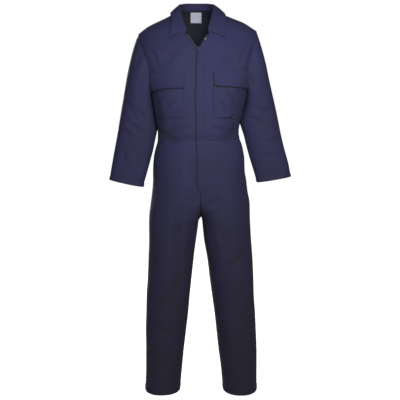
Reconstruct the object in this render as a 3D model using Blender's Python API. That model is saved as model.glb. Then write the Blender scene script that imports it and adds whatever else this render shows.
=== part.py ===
"""Boiler suit in its worn, hollow form: one-piece coverall in twill with a covered front zip.

Metres, +Z up, front towards -Y, wearer's right at -X. The origin lies midway between the two side neck
points, where the wearer's shoulders carry the suit. Each cut piece of cloth is a closed wall worked out from
the tables below: a row is a section of the garment, and a named column is one of its sizes.
"""

import math

import bmesh
import bpy
import numpy as np
from mathutils import Matrix, Vector

# Cloth and seams
CLOTH = 0.0015
DOUBLE_CLOTH = 0.0022
TAPE = 0.0010
SEAM_GAP = 0.0003
ARMHOLE_GAP = 0.0008
LAY_GAP = 0.0009  # between a piece that is laid on a panel and that panel
HEM_SWELL = 0.0012  # a turned hem stands out this far
HEM_HEIGHT = 0.020
POCKET_SWELL = 0.0022  # a pocket stands out this far at its middle
FLAP_SWELL = 0.0016
FLAP_TILT = 0.0010  # a flap's foot stands out this far
FLAP_GAP = 0.0008

# Main levels
WAIST_Z = -0.525
WAIST_TILT = 0.020  # rise of the waist seam for each metre towards the wearer's left
SEAT_Z = -0.736  # the crotch seam starts to curve under here
CROTCH_Z = -0.854
HIP_Z = -0.600  # below this level the hips start to part into two legs
THIGH_Z = -0.980  # below this level each leg is a plain ring
HEM_Z = -1.630
UNDERARM_Z = -0.335
FLY_TOP_Z = -0.166  # the zip is open above this level
FLY_FOOT_Z = -0.733
FLY_SLOT = 0.004  # from centre front to each front's edge, where the zip lies

SQUARENESS = 2.4  # 2 is an ellipse, more is a squarer section
LEG_SQUARENESS = 2.2
RIGHT, LEFT = -1, 1
SHOULDER_TIP_Z = {RIGHT: -0.100, LEFT: -0.087}

NAVY = (0.035, 0.034, 0.088, 1.0)
NAVY_TAPE = (0.060, 0.062, 0.085, 1.0)
LABEL_GREY = (0.45, 0.46, 0.50, 1.0)
NICKEL = (0.62, 0.62, 0.66, 1.0)

# Upper body and hips: half widths from the centre line, and depths from the side seams
TRUNK_COLUMNS = ("z", "centre", "right", "left", "front", "back")
TRUNK = (
    (0.012, -0.012, 0.052, 0.052, 0.028, 0.060),
    (-0.004, -0.012, 0.080, 0.080, 0.040, 0.068),
    (-0.018, -0.012, 0.107, 0.109, 0.053, 0.076),
    (-0.030, -0.012, 0.130, 0.141, 0.062, 0.082),
    (-0.054, -0.011, 0.177, 0.194, 0.077, 0.091),
    (-0.070, -0.011, 0.206, 0.219, 0.085, 0.097),
    (-0.087, -0.011, 0.231, 0.245, 0.092, 0.102),
    (-0.100, -0.010, 0.246, 0.251, 0.097, 0.106),
    (-0.130, -0.009, 0.252, 0.254, 0.109, 0.114),
    (-0.166, -0.007, 0.252, 0.252, 0.120, 0.121),
    (-0.230, -0.008, 0.240, 0.244, 0.131, 0.129),
    (-0.286, -0.008, 0.221, 0.228, 0.135, 0.133),
    (-0.335, -0.008, 0.197, 0.207, 0.136, 0.133),
    (-0.375, -0.008, 0.190, 0.197, 0.135, 0.131),
    (-0.418, -0.007, 0.183, 0.185, 0.133, 0.127),
    (-0.450, -0.006, 0.179, 0.176, 0.131, 0.123),
    (-0.475, -0.006, 0.175, 0.171, 0.130, 0.119),
    (-0.500, -0.005, 0.173, 0.168, 0.128, 0.116),
    (-0.525, -0.005, 0.173, 0.171, 0.121, 0.111),
    (-0.550, -0.004, 0.180, 0.180, 0.122, 0.115),
    (-0.575, -0.004, 0.187, 0.187, 0.124, 0.121),
    (-0.610, -0.003, 0.194, 0.192, 0.126, 0.130),
    (-0.660, -0.002, 0.198, 0.193, 0.128, 0.140),
    (-0.700, -0.001, 0.199, 0.198, 0.129, 0.146),
    (-0.750, 0.001, 0.205, 0.202, 0.128, 0.147),
    (-0.800, 0.003, 0.213, 0.209, 0.126, 0.143),
    (-0.854, 0.005, 0.221, 0.208, 0.124, 0.136),
    (-0.905, 0.005, 0.223, 0.211, 0.120, 0.131),
)

# Legs below the crotch: where the outseam and the inseam run, and depths from them. Each of the two tables
# has one row past the crotch, so that their slopes meet there.
LEG_COLUMNS = ("z", "right_out", "right_in", "left_in", "left_out", "front", "back")
LEG = (
    (-0.800, -0.210, 0.025, -0.015, 0.212, 0.126, 0.143),
    (-0.854, -0.216, 0.005, 0.005, 0.213, 0.124, 0.136),
    (-0.872, -0.217, -0.006, 0.010, 0.214, 0.123, 0.134),
    (-0.905, -0.218, -0.011, 0.014, 0.216, 0.120, 0.131),
    (-0.960, -0.220, -0.018, 0.019, 0.220, 0.116, 0.125),
    (-1.040, -0.224, -0.028, 0.031, 0.227, 0.109, 0.118),
    (-1.120, -0.226, -0.037, 0.041, 0.232, 0.102, 0.112),
    (-1.200, -0.231, -0.045, 0.052, 0.236, 0.097, 0.108),
    (-1.280, -0.234, -0.052, 0.062, 0.242, 0.093, 0.105),
    (-1.370, -0.238, -0.063, 0.073, 0.246, 0.090, 0.101),
    (-1.450, -0.238, -0.073, 0.083, 0.250, 0.088, 0.096),
    (-1.530, -0.238, -0.081, 0.093, 0.252, 0.087, 0.092),
    (-1.630, -0.241, -0.089, 0.101, 0.253, 0.088, 0.088),
)
LEG_LEVELS = (
    -0.556, -0.588, -0.622, -0.660, -0.700, -0.733, -0.760, -0.785, -0.807, -0.825, -0.839, -0.848,
    -0.854, -0.872, -0.905, -0.955, -1.010, -1.065, -1.120, -1.175, -1.230, -1.285, -1.345, -1.410,
    -1.480, -1.550, -1.612, -1.630,
)

# Fronts from the waist up. The inner edge runs up the zip, along the open neck and round the neckline;
# the outer edge up the side seam and round the armhole. Angles are in degrees from centre front.
FRONT_COLUMNS = ("inner_x", "inner_z", "outer_angle", "outer_z")
FRONT = (
    (0.004, -0.525, 90.0, -0.525),
    (0.004, -0.512, 90.0, -0.512),
    (0.004, -0.492, 90.0, -0.494),
    (0.004, -0.462, 90.0, -0.468),
    (0.004, -0.425, 90.0, -0.438),
    (0.004, -0.388, 90.0, -0.405),
    (0.004, -0.350, 90.0, -0.370),
    (0.004, -0.312, 90.0, -0.335),
    (0.004, -0.275, 72.0, -0.318),
    (0.004, -0.240, 61.0, -0.292),
    (0.004, -0.203, 56.5, -0.258),
    (0.004, -0.166, 55.5, -0.222),
    (0.026, -0.132, 57.5, -0.188),
    (0.046, -0.098, 61.5, -0.157),
    (0.057, -0.066, 67.0, -0.132),
    (0.067, -0.038, 74.0, -0.115),
    (0.076, -0.016, 82.0, -0.104),
    (0.080, -0.004, 90.0, -0.100),
)

# Back from the waist up, on the same side seams and shoulders. Angles are in degrees from centre back.
BACK_COLUMNS = ("inner_angle", "inner_z", "outer_angle", "outer_z")
BACK = (
    (0.0, -0.525, 90.0, -0.525),
    (0.0, -0.512, 90.0, -0.512),
    (0.0, -0.492, 90.0, -0.494),
    (0.0, -0.462, 90.0, -0.468),
    (0.0, -0.425, 90.0, -0.438),
    (0.0, -0.388, 90.0, -0.405),
    (0.0, -0.348, 90.0, -0.370),
    (0.0, -0.306, 90.0, -0.335),
    (0.0, -0.264, 75.0, -0.318),
    (0.0, -0.222, 67.0, -0.292),
    (0.0, -0.180, 63.5, -0.258),
    (0.0, -0.138, 62.5, -0.222),
    (0.0, -0.096, 63.5, -0.188),
    (0.0, -0.055, 67.0, -0.157),
    (0.0, -0.022, 72.0, -0.132),
    (0.0, 0.006, 78.0, -0.116),
    (30.0, 0.005, 84.0, -0.106),
    (60.0, 0.001, 88.0, -0.102),
    (90.0, -0.004, 90.0, -0.100),
)

# Sleeves from the armhole down: the ends of each section as seen from the front, and its half depths
SLEEVE_COLUMNS = ("out_x", "out_z", "in_x", "in_z", "middle_y", "front", "back", "loop_share")
SLEEVE = {
    RIGHT: (
        (-0.258, -0.100, -0.206, -0.335, 0.000, 0.078, 0.070, 1.00),
        (-0.270, -0.129, -0.205, -0.344, 0.000, 0.080, 0.074, 0.62),
        (-0.283, -0.176, -0.200, -0.358, 0.001, 0.080, 0.076, 0.28),
        (-0.293, -0.222, -0.195, -0.375, 0.003, 0.078, 0.076, 0.08),
        (-0.303, -0.270, -0.190, -0.395, 0.006, 0.074, 0.074, 0.00),
        (-0.313, -0.322, -0.185, -0.418, 0.009, 0.070, 0.071, 0.00),
        (-0.323, -0.375, -0.182, -0.443, 0.011, 0.065, 0.067, 0.00),
        (-0.333, -0.425, -0.180, -0.470, 0.012, 0.061, 0.063, 0.00),
        (-0.339, -0.457, -0.180, -0.496, 0.012, 0.058, 0.060, 0.00),
        (-0.344, -0.485, -0.1875, -0.522, 0.011, 0.055, 0.057, 0.00),
        (-0.354, -0.535, -0.197, -0.570, 0.008, 0.050, 0.052, 0.00),
        (-0.364, -0.585, -0.210, -0.620, 0.003, 0.045, 0.047, 0.00),
        (-0.374, -0.637, -0.224, -0.672, -0.003, 0.041, 0.042, 0.00),
        (-0.382, -0.680, -0.236, -0.712, -0.007, 0.039, 0.039, 0.00),
        (-0.385, -0.696, -0.239, -0.728, -0.009, 0.038, 0.038, 0.00),
    ),
    LEFT: (
        (0.236, -0.087, 0.200, -0.335, 0.000, 0.078, 0.070, 1.00),
        (0.246, -0.118, 0.198, -0.344, 0.000, 0.080, 0.074, 0.62),
        (0.259, -0.165, 0.192, -0.358, 0.001, 0.080, 0.076, 0.28),
        (0.271, -0.212, 0.186, -0.374, 0.003, 0.078, 0.076, 0.08),
        (0.283, -0.262, 0.182, -0.393, 0.006, 0.074, 0.074, 0.00),
        (0.296, -0.312, 0.176, -0.415, 0.009, 0.070, 0.071, 0.00),
        (0.309, -0.364, 0.170, -0.440, 0.011, 0.065, 0.067, 0.00),
        (0.319, -0.408, 0.165, -0.461, 0.012, 0.061, 0.063, 0.00),
        (0.326, -0.438, 0.173, -0.482, 0.012, 0.058, 0.060, 0.00),
        (0.334, -0.472, 0.182, -0.509, 0.011, 0.055, 0.057, 0.00),
        (0.347, -0.523, 0.194, -0.553, 0.008, 0.050, 0.052, 0.00),
        (0.360, -0.574, 0.208, -0.602, 0.003, 0.045, 0.047, 0.00),
        (0.374, -0.626, 0.225, -0.652, -0.003, 0.040, 0.042, 0.00),
        (0.382, -0.667, 0.237, -0.692, -0.007, 0.039, 0.039, 0.00),
        (0.385, -0.683, 0.241, -0.708, -0.009, 0.038, 0.038, 0.00),
    ),
}
SLEEVE_SQUARENESS = 2.3
SLEEVE_CLEAR = 0.0018  # the sleeve hangs this far off the side of the body
UNDERARM_ROW = 7
COLLAR_ROW = 13  # the row of a front where the collar's end is sewn
NAPE_ROW = 15  # the row of the back that meets the neck seam at its middle
FRONT_SHARES = np.array([0.0, 0.05, 0.14, 0.25, 0.37, 0.49, 0.61, 0.73, 0.86, 1.0])  # closer by the zip

# Collar from its front end to centre back: rise of its roll line over the neck seam, and its outer edge
# on the shoulders, with the edge's angle in degrees from centre front
COLLAR_COLUMNS = ("share", "rise", "inward", "edge_angle", "edge_z", "edge_lift")
COLLAR = (
    (0.00, 0.006, 0.000, 21.5, -0.119, 0.0050),
    (0.14, 0.008, 0.001, 22.6, -0.096, 0.0046),
    (0.30, 0.013, 0.003, 27.0, -0.066, 0.0044),
    (0.45, 0.019, 0.004, 42.0, -0.038, 0.0048),
    (0.58, 0.024, 0.004, 66.0, -0.022, 0.0056),
    (0.72, 0.026, 0.003, 100.0, -0.016, 0.0060),
    (0.86, 0.027, 0.001, 135.0, -0.015, 0.0060),
    (1.00, 0.027, 0.000, 180.0, -0.015, 0.0060),
)
ROLL_RADIUS = 0.0030
ROLL_PROFILE = ((0.35, 0.35), (1.25, 0.50), (2.10, -0.50))  # outward and up, in roll radii
SEAM_CLEAR = 0.0012  # the collar starts this far above and inside the neck seam
FALL_SHARES = (0.30, 0.65, 1.00)  # rows down the fall
FALL_SWELL = 0.0012
COLLAR_STEPS = 12  # columns in each half

# Covered front: the placket's free edge, measured from the centre line
PLACKET_COLUMNS = ("z", "edge_x")
PLACKET = (
    (-0.166, -0.002),
    (-0.190, -0.005),
    (-0.250, -0.006),
    (-0.365, -0.009),
    (-0.480, -0.009),
    (-0.590, -0.009),
    (-0.690, -0.009),
    (-0.733, -0.008),
)
PLACKET_WIDTH = 0.033
PLACKET_TOP_WIDTH = 0.022
PLACKET_SHARES = (0.30, 0.56, 0.82)  # its rows up the open neck
PLACKET_LAP = 0.001  # past the open neck's edge
PLACKET_DROOP = 0.008  # rise of its outer edge at the collar

# Zip tapes: edges beside the closed zip, and from the open neck's edge as (x, z)
TAPE_EDGES = (0.0008, 0.0150)
OPEN_TAPE_EDGES = ((-0.0055, -0.0015), (0.0100, 0.0030))
TAPE_SHARES = (0.25, 0.50, 0.75, 0.96)  # rows up the open neck

# Chest pockets and flaps: corners as (x, z) on the fronts, inner side first
POCKET_TOP = {RIGHT: (-0.066, -0.190, -0.262), LEFT: (0.053, 0.184, -0.256)}
POCKET_FOOT = {RIGHT: (-0.066, -0.168, -0.434), LEFT: (0.055, 0.158, -0.434)}
FLAP = {
    RIGHT: {"top": ((-0.062, -0.255), (-0.197, -0.253)), "foot": ((-0.062, -0.309), (-0.192, -0.329))},
    LEFT: {"top": ((0.050, -0.252), (0.188, -0.243)), "foot": ((0.058, -0.306), (0.188, -0.314))},
}

# Small trim
LABEL_WIDTH, LABEL_HEIGHT = 0.046, 0.040
LABEL_X, LABEL_TOP_Z = -0.017, -0.005
LABEL_GAP = 1.8 * LAY_GAP
TAB_TOP = ((0.128, -0.416), (0.150, -0.416))
TAB_FOOT = ((0.128, -0.436), (0.148, -0.436))
TAB_GAP = 0.0015  # over the swell of the pocket
STUD_OFFSET, STUD_Z = 0.0305, -0.1230  # from centre front, on the wearer's left
STUD_RADIUS, STUD_HEIGHT = 0.0040, 0.0018
STUD_GAP = 0.0006
STUD_TAPER = 0.82  # its top against its foot

# Largest folds, as soft troughs between two points seen from the front or from behind
FOLD_COLUMNS = ("x1", "z1", "x2", "z2", "width", "depth")
FRONT_FOLDS = (
    (-0.168, -0.498, -0.118, -0.522, 0.020, 0.0070),
    (0.158, -0.486, 0.112, -0.515, 0.020, 0.0070),
    (-0.098, -0.905, -0.150, -1.075, 0.026, 0.0050),
    (-0.070, -1.120, -0.190, -1.215, 0.028, 0.0050),
    (0.180, -1.150, 0.100, -1.235, 0.028, 0.0045),
    (0.075, -0.900, 0.150, -1.000, 0.026, 0.0040),
    (-0.215, -1.440, -0.120, -1.500, 0.028, 0.0040),
    (0.120, -1.430, 0.215, -1.500, 0.028, 0.0040),
)
BACK_FOLDS = (
    (-0.060, -0.520, -0.075, -0.430, 0.022, 0.0060),
    (0.070, -0.520, 0.090, -0.420, 0.022, 0.0060),
    (-0.140, -0.515, -0.160, -0.440, 0.020, 0.0060),
    (0.150, -0.510, 0.155, -0.440, 0.020, 0.0055),
    (-0.040, -0.860, -0.150, -0.930, 0.028, 0.0060),
    (0.045, -0.865, 0.150, -0.945, 0.028, 0.0060),
    (-0.200, -1.160, -0.090, -1.230, 0.028, 0.0060),
    (0.205, -1.150, 0.110, -1.240, 0.028, 0.0060),
    (-0.110, -1.260, -0.190, -1.320, 0.028, 0.0045),
    (0.120, -1.270, 0.200, -1.330, 0.028, 0.0045),
)

# Zip slider and pull tab
PULL_X = -0.0092
PULL_Z = -0.1555
PULL_STAND_OFF = 0.0064  # from the fronts' face to the pull tab's axis
BAR_RADIUS = 0.0006
EYE_RADIUS = 0.0010
EYE_WALL = 0.0009
TAB_LENGTH = 0.020
TAB_WIDTH = 0.0042
TAB_THICKNESS = 0.0011
SLIDER_WIDTH = 0.0068
SLIDER_HEIGHT = 0.0090


def smooth(keys, values, at):
    """Cubic through a table's rows that never overshoots them."""
    keys, values = np.asarray(keys, float), np.asarray(values, float)
    if keys[0] > keys[-1]:
        keys, values = keys[::-1], values[::-1]
    at = np.clip(np.asarray(at, float), keys[0], keys[-1])
    step = np.diff(keys)
    slope = np.diff(values) / step
    product = slope[:-1] * slope[1:]
    total = slope[:-1] + slope[1:]
    inner = np.where(product > 0, 2 * product / np.where(total == 0, 1, total), 0)
    tangent = np.concatenate([slope[:1], inner, slope[-1:]])
    row = np.clip(np.searchsorted(keys, at, side="right") - 1, 0, len(step) - 1)
    share = (at - keys[row]) / step[row]
    rest = 1 - share
    ends = values[row] * (1 + 2 * share) * rest**2 + values[row + 1] * (3 - 2 * share) * share**2
    bend = step[row] * (tangent[row] * share * rest**2 - tangent[row + 1] * rest * share**2)
    return ends + bend


def read(columns, rows, name, at=None):
    """A named column of a table, or its smooth value at places on the table's first column."""
    values = np.array([row[columns.index(name)] for row in rows])
    if at is None:
        return values
    return smooth([row[0] for row in rows], values, at)


def power(value, squareness):
    return np.sign(value) * np.abs(value) ** (2 / squareness)


def blended(low, high, share):
    return low * (1 - share) + high * share


def side_name(side):
    return "right" if side == RIGHT else "left"


# Body surfaces: each gives a point for an angle round the body and a level


def trunk(side):
    """The upper body: angle 0 at centre front, pi / 2 at the side seam and shoulder, pi at centre back."""

    def surface(angle, z):
        half = read(TRUNK_COLUMNS, TRUNK, side_name(side), z)
        depth = np.where(
            np.cos(angle) > 0,
            read(TRUNK_COLUMNS, TRUNK, "front", z),
            read(TRUNK_COLUMNS, TRUNK, "back", z),
        )
        x = read(TRUNK_COLUMNS, TRUNK, "centre", z) + side * half * power(np.sin(angle), SQUARENESS)
        return np.stack([x, -depth * power(np.cos(angle), SQUARENESS), z + 0 * x], axis=-1)

    return surface


def hip_section(side, level):
    """Inner and outer ends of a hip or leg section, the share of its width inside its deepest line, how far
    its inner end has closed round the crotch, and its squareness."""
    centre = read(TRUNK_COLUMNS, TRUNK, "centre", level)
    hip = centre + side * read(TRUNK_COLUMNS, TRUNK, side_name(side), level)
    above = level > CROTCH_Z
    inner = np.where(above, centre, read(LEG_COLUMNS, LEG, side_name(side) + "_in", level))
    outer = np.where(above, hip, read(LEG_COLUMNS, LEG, side_name(side) + "_out", level))
    down = np.clip((HIP_Z - level) / (HIP_Z - THIGH_Z), 0, 1)
    flat = 0.5 * down**2 * (3 - 2 * down)
    under = np.clip((SEAT_Z - level) / (SEAT_Z - CROTCH_Z), 0, 1)
    closed = np.maximum(under**2 * (2.5 - 1.5 * under), 1e-4)
    return inner, outer, flat, closed, blended(SQUARENESS, LEG_SQUARENESS, down)


def trouser(side):
    """Hips and leg: turn 0 at centre front or inseam, 1 at the outseam, 2 at centre back or inseam.

    A section is a squared ellipse with a flat middle. Under the seat that middle closes round the crotch
    curve, until each leg is a whole ring.
    """

    def surface(turn, level):
        behind = turn > 1
        share = np.where(behind, 2 - turn, turn)
        face = np.where(behind, 1, -1)
        inner, outer, flat, closed, squareness = hip_section(side, level)
        hip_depth = np.where(
            behind,
            read(TRUNK_COLUMNS, TRUNK, "back", level),
            read(TRUNK_COLUMNS, TRUNK, "front", level),
        )
        leg_depth = np.where(
            behind,
            read(LEG_COLUMNS, LEG, "back", level),
            read(LEG_COLUMNS, LEG, "front", level),
        )
        depth = np.where(level > CROTCH_Z, hip_depth, leg_depth)
        width = outer - inner
        start = np.arccos(closed ** (squareness / 2))
        turned = np.clip(share / np.maximum(flat, 1e-6), 0, 1)
        angle = start + (math.pi / 2 - start) * turned
        inside = power(np.cos(angle) / np.cos(start), squareness)
        beyond = np.clip((share - flat) / (1 - flat), 0, 1) * math.pi / 2
        x = inner + width * np.where(
            share < flat,
            flat * (1 - inside),
            flat + (1 - flat) * power(np.sin(beyond), squareness),
        )
        depth_share = np.where(share < flat, np.sin(angle), np.cos(beyond))
        y = face * depth * power(depth_share, squareness)
        return np.stack([x, y, level + 0 * x], axis=-1)

    return surface


def turn_at(side, offset, level):
    """The turn at which the hips' front passes an offset from centre front, above the seat."""
    inner, outer, flat, _, squareness = hip_section(side, level)
    wide = np.abs(outer - inner)
    inside = 1 - np.clip(1 - offset / np.maximum(flat * wide, 1e-6), 0, 1) ** (squareness / 2)
    beyond = np.arcsin(np.clip((offset / wide - flat) / (1 - flat), 0, 1) ** (squareness / 2))
    return np.where(offset < flat * wide, flat * inside, flat + (1 - flat) * beyond / (math.pi / 2))


def outward(surface, side, around, level, reach=2e-3):
    """Unit normals of a body surface, from its own slopes."""
    along = surface(around + reach, level) - surface(around - reach, level)
    up = surface(around, level + reach / 4) - surface(around, level - reach / 4)
    normal = side * np.cross(along, up)
    return normal / np.linalg.norm(normal, axis=-1, keepdims=True)


def folded(points, normals):
    """Points pressed in along the folds on their side of the suit."""
    depth = np.zeros(points.shape[:-1])
    for folds, faces in ((FRONT_FOLDS, normals[..., 1] < 0), (BACK_FOLDS, normals[..., 1] > 0)):
        for x1, z1, x2, z2, width, deep in folds:
            run = np.array([x2 - x1, z2 - z1])
            away = points[..., [0, 2]] - np.array([x1, z1])
            share = np.clip(away @ run / (run @ run), 0, 1)
            distance = np.linalg.norm(away - share[..., None] * run, axis=-1)
            depth += faces * deep * np.exp(-((distance / width) ** 2))
    return points - normals * (depth * np.abs(normals[..., 1]))[..., None]


def draped(surface, side, around, level, out=0.0):
    """Points of a body surface with its folds, moved out by a distance."""
    normals = outward(surface, side, around, level)
    return folded(surface(around, level), normals) + normals * np.asarray(out)[..., None], normals


def angle_at(side, x, z):
    """The angle from centre front at which the trunk passes x at a level, on the front."""
    half = read(TRUNK_COLUMNS, TRUNK, side_name(side), z)
    offset = side * (x - read(TRUNK_COLUMNS, TRUNK, "centre", z))
    return np.arcsin(np.clip(offset / half, 0, 1) ** (SQUARENESS / 2))


def waist_shift(points, level):
    """The waist seam's tilt, which fades out above and below it."""
    fade = np.exp(-(((level - WAIST_Z) / 0.06) ** 2))
    points[..., 2] += WAIST_TILT * points[..., 0] * fade
    return points


# Meshes


def trimmed(points, edges, gap=SEAM_GAP / 2):
    """A grid whose named edges are cut back by half of the seam gap."""
    points = points.copy()
    neighbours = {"first_row": (0, 1), "last_row": (-1, -2)}
    for edge, (border, inner) in neighbours.items():
        if edge in edges:
            way = points[inner] - points[border]
            points[border] += way / np.linalg.norm(way, axis=-1, keepdims=True) * gap
    neighbours = {"first_column": (0, 1), "last_column": (-1, -2)}
    for edge, (border, inner) in neighbours.items():
        if edge in edges:
            way = points[:, inner] - points[:, border]
            points[:, border] += way / np.linalg.norm(way, axis=-1, keepdims=True) * gap
    return points


def material(name, colour, roughness, metallic=0.0):
    made = bpy.data.materials.get(name) or bpy.data.materials.new(name)
    made.use_nodes = True
    shader = made.node_tree.nodes["Principled BSDF"]
    shader.inputs["Base Color"].default_value = colour
    shader.inputs["Roughness"].default_value = roughness
    shader.inputs["Metallic"].default_value = metallic
    return made


def finished(name, mesh_builder, finish):
    """An object of a bmesh, with its faces out and its own material."""
    bmesh.ops.remove_doubles(mesh_builder, verts=mesh_builder.verts, dist=1e-6)
    bmesh.ops.recalc_face_normals(mesh_builder, faces=mesh_builder.faces)
    mesh = bpy.data.meshes.new(name)
    mesh_builder.to_mesh(mesh)
    mesh_builder.free()
    mesh.materials.append(finish)
    mesh.shade_smooth()
    mesh.set_sharp_from_angle(angle=math.radians(50))
    made = bpy.data.objects.new(name, mesh)
    bpy.context.scene.collection.objects.link(made)
    return made


def skin_faces(bm, points, closed):
    """A sheet of four-sided faces over a grid of points."""
    vertices = [[bm.verts.new(point) for point in row] for row in points]
    columns = len(vertices[0])
    for low, high in zip(vertices, vertices[1:]):
        for column in range(columns if closed else columns - 1):
            after = (column + 1) % columns
            bm.faces.new((low[column], low[after], high[after], high[column]))
    return vertices


def rim_faces(bm, outer, inner, closed):
    """The cut edges of a wall, between its outer and its inner sheet."""
    rims = [(outer[0], inner[0]), (outer[-1], inner[-1])]
    if not closed:
        rims.append(([row[0] for row in outer], [row[0] for row in inner]))
        rims.append(([row[-1] for row in outer], [row[-1] for row in inner]))
    for edge, under in rims:
        for place in range(len(edge) if closed else len(edge) - 1):
            after = (place + 1) % len(edge)
            bm.faces.new((edge[place], edge[after], under[after], under[place]))


def wall(name, outer, normals, finish, thickness=CLOTH, closed=False):
    """A cut piece of cloth: a grid of points with a second sheet a thickness behind it."""
    bm = bmesh.new()
    behind = outer - normals * np.asarray(thickness)[..., None]
    rim_faces(bm, skin_faces(bm, outer, closed), skin_faces(bm, behind, closed), closed)
    finished(name, bm, finish)


def grid_normals(points, closed=False):
    """Unit normals of a grid from its own neighbours, with rows and columns in a right-handed order."""
    wide = np.concatenate([points[:, -1:], points, points[:, :1]], axis=1) if closed else points
    across = np.gradient(wide, axis=1)
    across = across[:, 1:-1] if closed else across
    normal = np.cross(across, np.gradient(points, axis=0))
    return normal / np.linalg.norm(normal, axis=-1, keepdims=True)


# Cut pieces


def scaled_tip(side, outer_z):
    """Armhole levels drawn for the lower shoulder tip, stretched up to this side's tip."""
    table_tip = FRONT[-1][FRONT_COLUMNS.index("outer_z")]
    stretch = (SHOULDER_TIP_Z[side] - UNDERARM_Z) / (table_tip - UNDERARM_Z)
    return np.where(outer_z > UNDERARM_Z, UNDERARM_Z + (outer_z - UNDERARM_Z) * stretch, outer_z)


def front_places(side, share):
    """Angles and levels of a front's grid, from its inner to its outer edge."""
    inner_x = read(FRONT_COLUMNS, FRONT, "inner_x")
    inner_z = read(FRONT_COLUMNS, FRONT, "inner_z")
    centre = read(TRUNK_COLUMNS, TRUNK, "centre", inner_z)
    inner = angle_at(side, centre + side * inner_x, inner_z)
    outer = np.radians(read(FRONT_COLUMNS, FRONT, "outer_angle"))
    outer_z = scaled_tip(side, read(FRONT_COLUMNS, FRONT, "outer_z"))
    return blended(inner[:, None], outer[:, None], share), blended(inner_z[:, None], outer_z[:, None], share)


def back_places(side, share):
    """Angles and levels of half a back's grid, from its middle to its outer edge."""
    inner = math.pi - np.radians(read(BACK_COLUMNS, BACK, "inner_angle"))
    outer = math.pi - np.radians(read(BACK_COLUMNS, BACK, "outer_angle"))
    inner_z = read(BACK_COLUMNS, BACK, "inner_z")
    outer_z = scaled_tip(side, read(BACK_COLUMNS, BACK, "outer_z"))
    return blended(inner[:, None], outer[:, None], share), blended(inner_z[:, None], outer_z[:, None], share)


def front_bodice(side, finish):
    angle, level = front_places(side, FRONT_SHARES)
    points, normals = draped(trunk(side), side, angle, level)
    points = trimmed(waist_shift(points, level), ("first_row", "last_row", "last_column"))
    wall("front_bodice_" + side_name(side), points, normals, finish)


def back_bodice(finish):
    """Both halves share the middle line up to the nape, and part along the neckline."""
    bm = bmesh.new()
    for side in (RIGHT, LEFT):
        angle, level = back_places(side, np.linspace(0, 1, 9))
        points, normals = draped(trunk(side), side, angle, level)
        normals[: NAPE_ROW + 1, 0, 0] = 0
        points = trimmed(waist_shift(points, level), ("first_row", "last_row", "last_column"))
        outer = skin_faces(bm, points, closed=False)
        inner = skin_faces(bm, points - normals * CLOTH, closed=False)
        edges = (
            (outer[0], inner[0]),
            (outer[-1], inner[-1]),
            ([row[-1] for row in outer], [row[-1] for row in inner]),
            ([row[0] for row in outer[NAPE_ROW:]], [row[0] for row in inner[NAPE_ROW:]]),
        )
        for edge, under in edges:
            for place in range(len(edge) - 1):
                bm.faces.new((edge[place], edge[place + 1], under[place + 1], under[place]))
    finished("back_bodice", bm, finish)


def trouser_panel(side, behind, finish, columns=11):
    """A leg from the waist seam to the hem, front or back."""
    surface = trouser(side)
    level = np.array((WAIST_Z,) + LEG_LEVELS)[:, None] + np.zeros(columns + 1)
    first = np.zeros(len(level))
    if not behind:
        slot = np.clip((level[:, 0] - SEAT_Z) / 0.03, 0, 1) * FLY_SLOT
        first = turn_at(side, slot, level[:, 0])
    share = blended(first[:, None], 1.0, np.linspace(0, 1, columns + 1))
    turn = 2 - share if behind else share
    hem = HEM_SWELL * (level <= HEM_Z + HEM_HEIGHT)
    points, normals = draped(surface, side, turn, level, hem)
    points = waist_shift(points, level)
    points = trimmed(points, ("first_row", "first_column", "last_column"))
    thickness = CLOTH + hem
    name = ("back_leg_" if behind else "front_leg_") + side_name(side)
    wall(name, points, normals, finish, thickness)


def armhole_loop(side):
    """Points round the armhole: front edge from shoulder tip to underarm, then the back edge up."""
    edges = np.array([0.0, 1.0])
    angle, level = front_places(side, edges)
    front, _ = draped(trunk(side), side, angle[UNDERARM_ROW:, 1], level[UNDERARM_ROW:, 1])
    angle, level = back_places(side, edges)
    back, _ = draped(trunk(side), side, angle[UNDERARM_ROW:, 1], level[UNDERARM_ROW:, 1])
    return np.concatenate([front[::-1], back[1:-1]]), len(front) - 1, len(back) - 1


def sleeve(side, finish):
    loop, front_steps, back_steps = armhole_loop(side)
    down = np.linspace(0, math.pi, front_steps + 1)
    up = np.linspace(math.pi, 2 * math.pi, back_steps + 1)[1:-1]
    around = np.concatenate([down, up])
    rings = []
    loop_share = np.array([row[SLEEVE_COLUMNS.index("loop_share")] for row in SLEEVE[side]])
    for row in SLEEVE[side]:
        size = dict(zip(SLEEVE_COLUMNS, row))
        body_x = side * trunk(side)(np.array(math.pi / 2), np.array(size["in_z"]))[0]
        inner_x = side * max(side * size["in_x"], body_x + SLEEVE_CLEAR)
        top = np.array([size["out_x"], size["middle_y"], size["out_z"]])
        foot = np.array([inner_x, size["middle_y"], size["in_z"]])
        depth = np.where(around <= math.pi, size["front"], size["back"])
        ring = (top + foot) / 2 + np.outer(power(np.cos(around), SLEEVE_SQUARENESS), (top - foot) / 2)
        ring[:, 1] -= depth * power(np.sin(around), SLEEVE_SQUARENESS)
        rings.append(ring)
    points = np.array(rings) + (loop - rings[0]) * loop_share[:, None, None]
    if side == LEFT:
        points = points[:, ::-1]
    normals = grid_normals(points, closed=True)
    middle = points.mean(axis=1, keepdims=True)
    if np.sum(normals * (points - middle)) < 0:
        normals = -normals
    away = points[1] - points[0]
    points[0] += away / np.linalg.norm(away, axis=1, keepdims=True) * ARMHOLE_GAP
    points[-2:] += normals[-2:] * HEM_SWELL
    wall("sleeve_" + side_name(side), points, normals, finish, closed=True)


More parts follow.
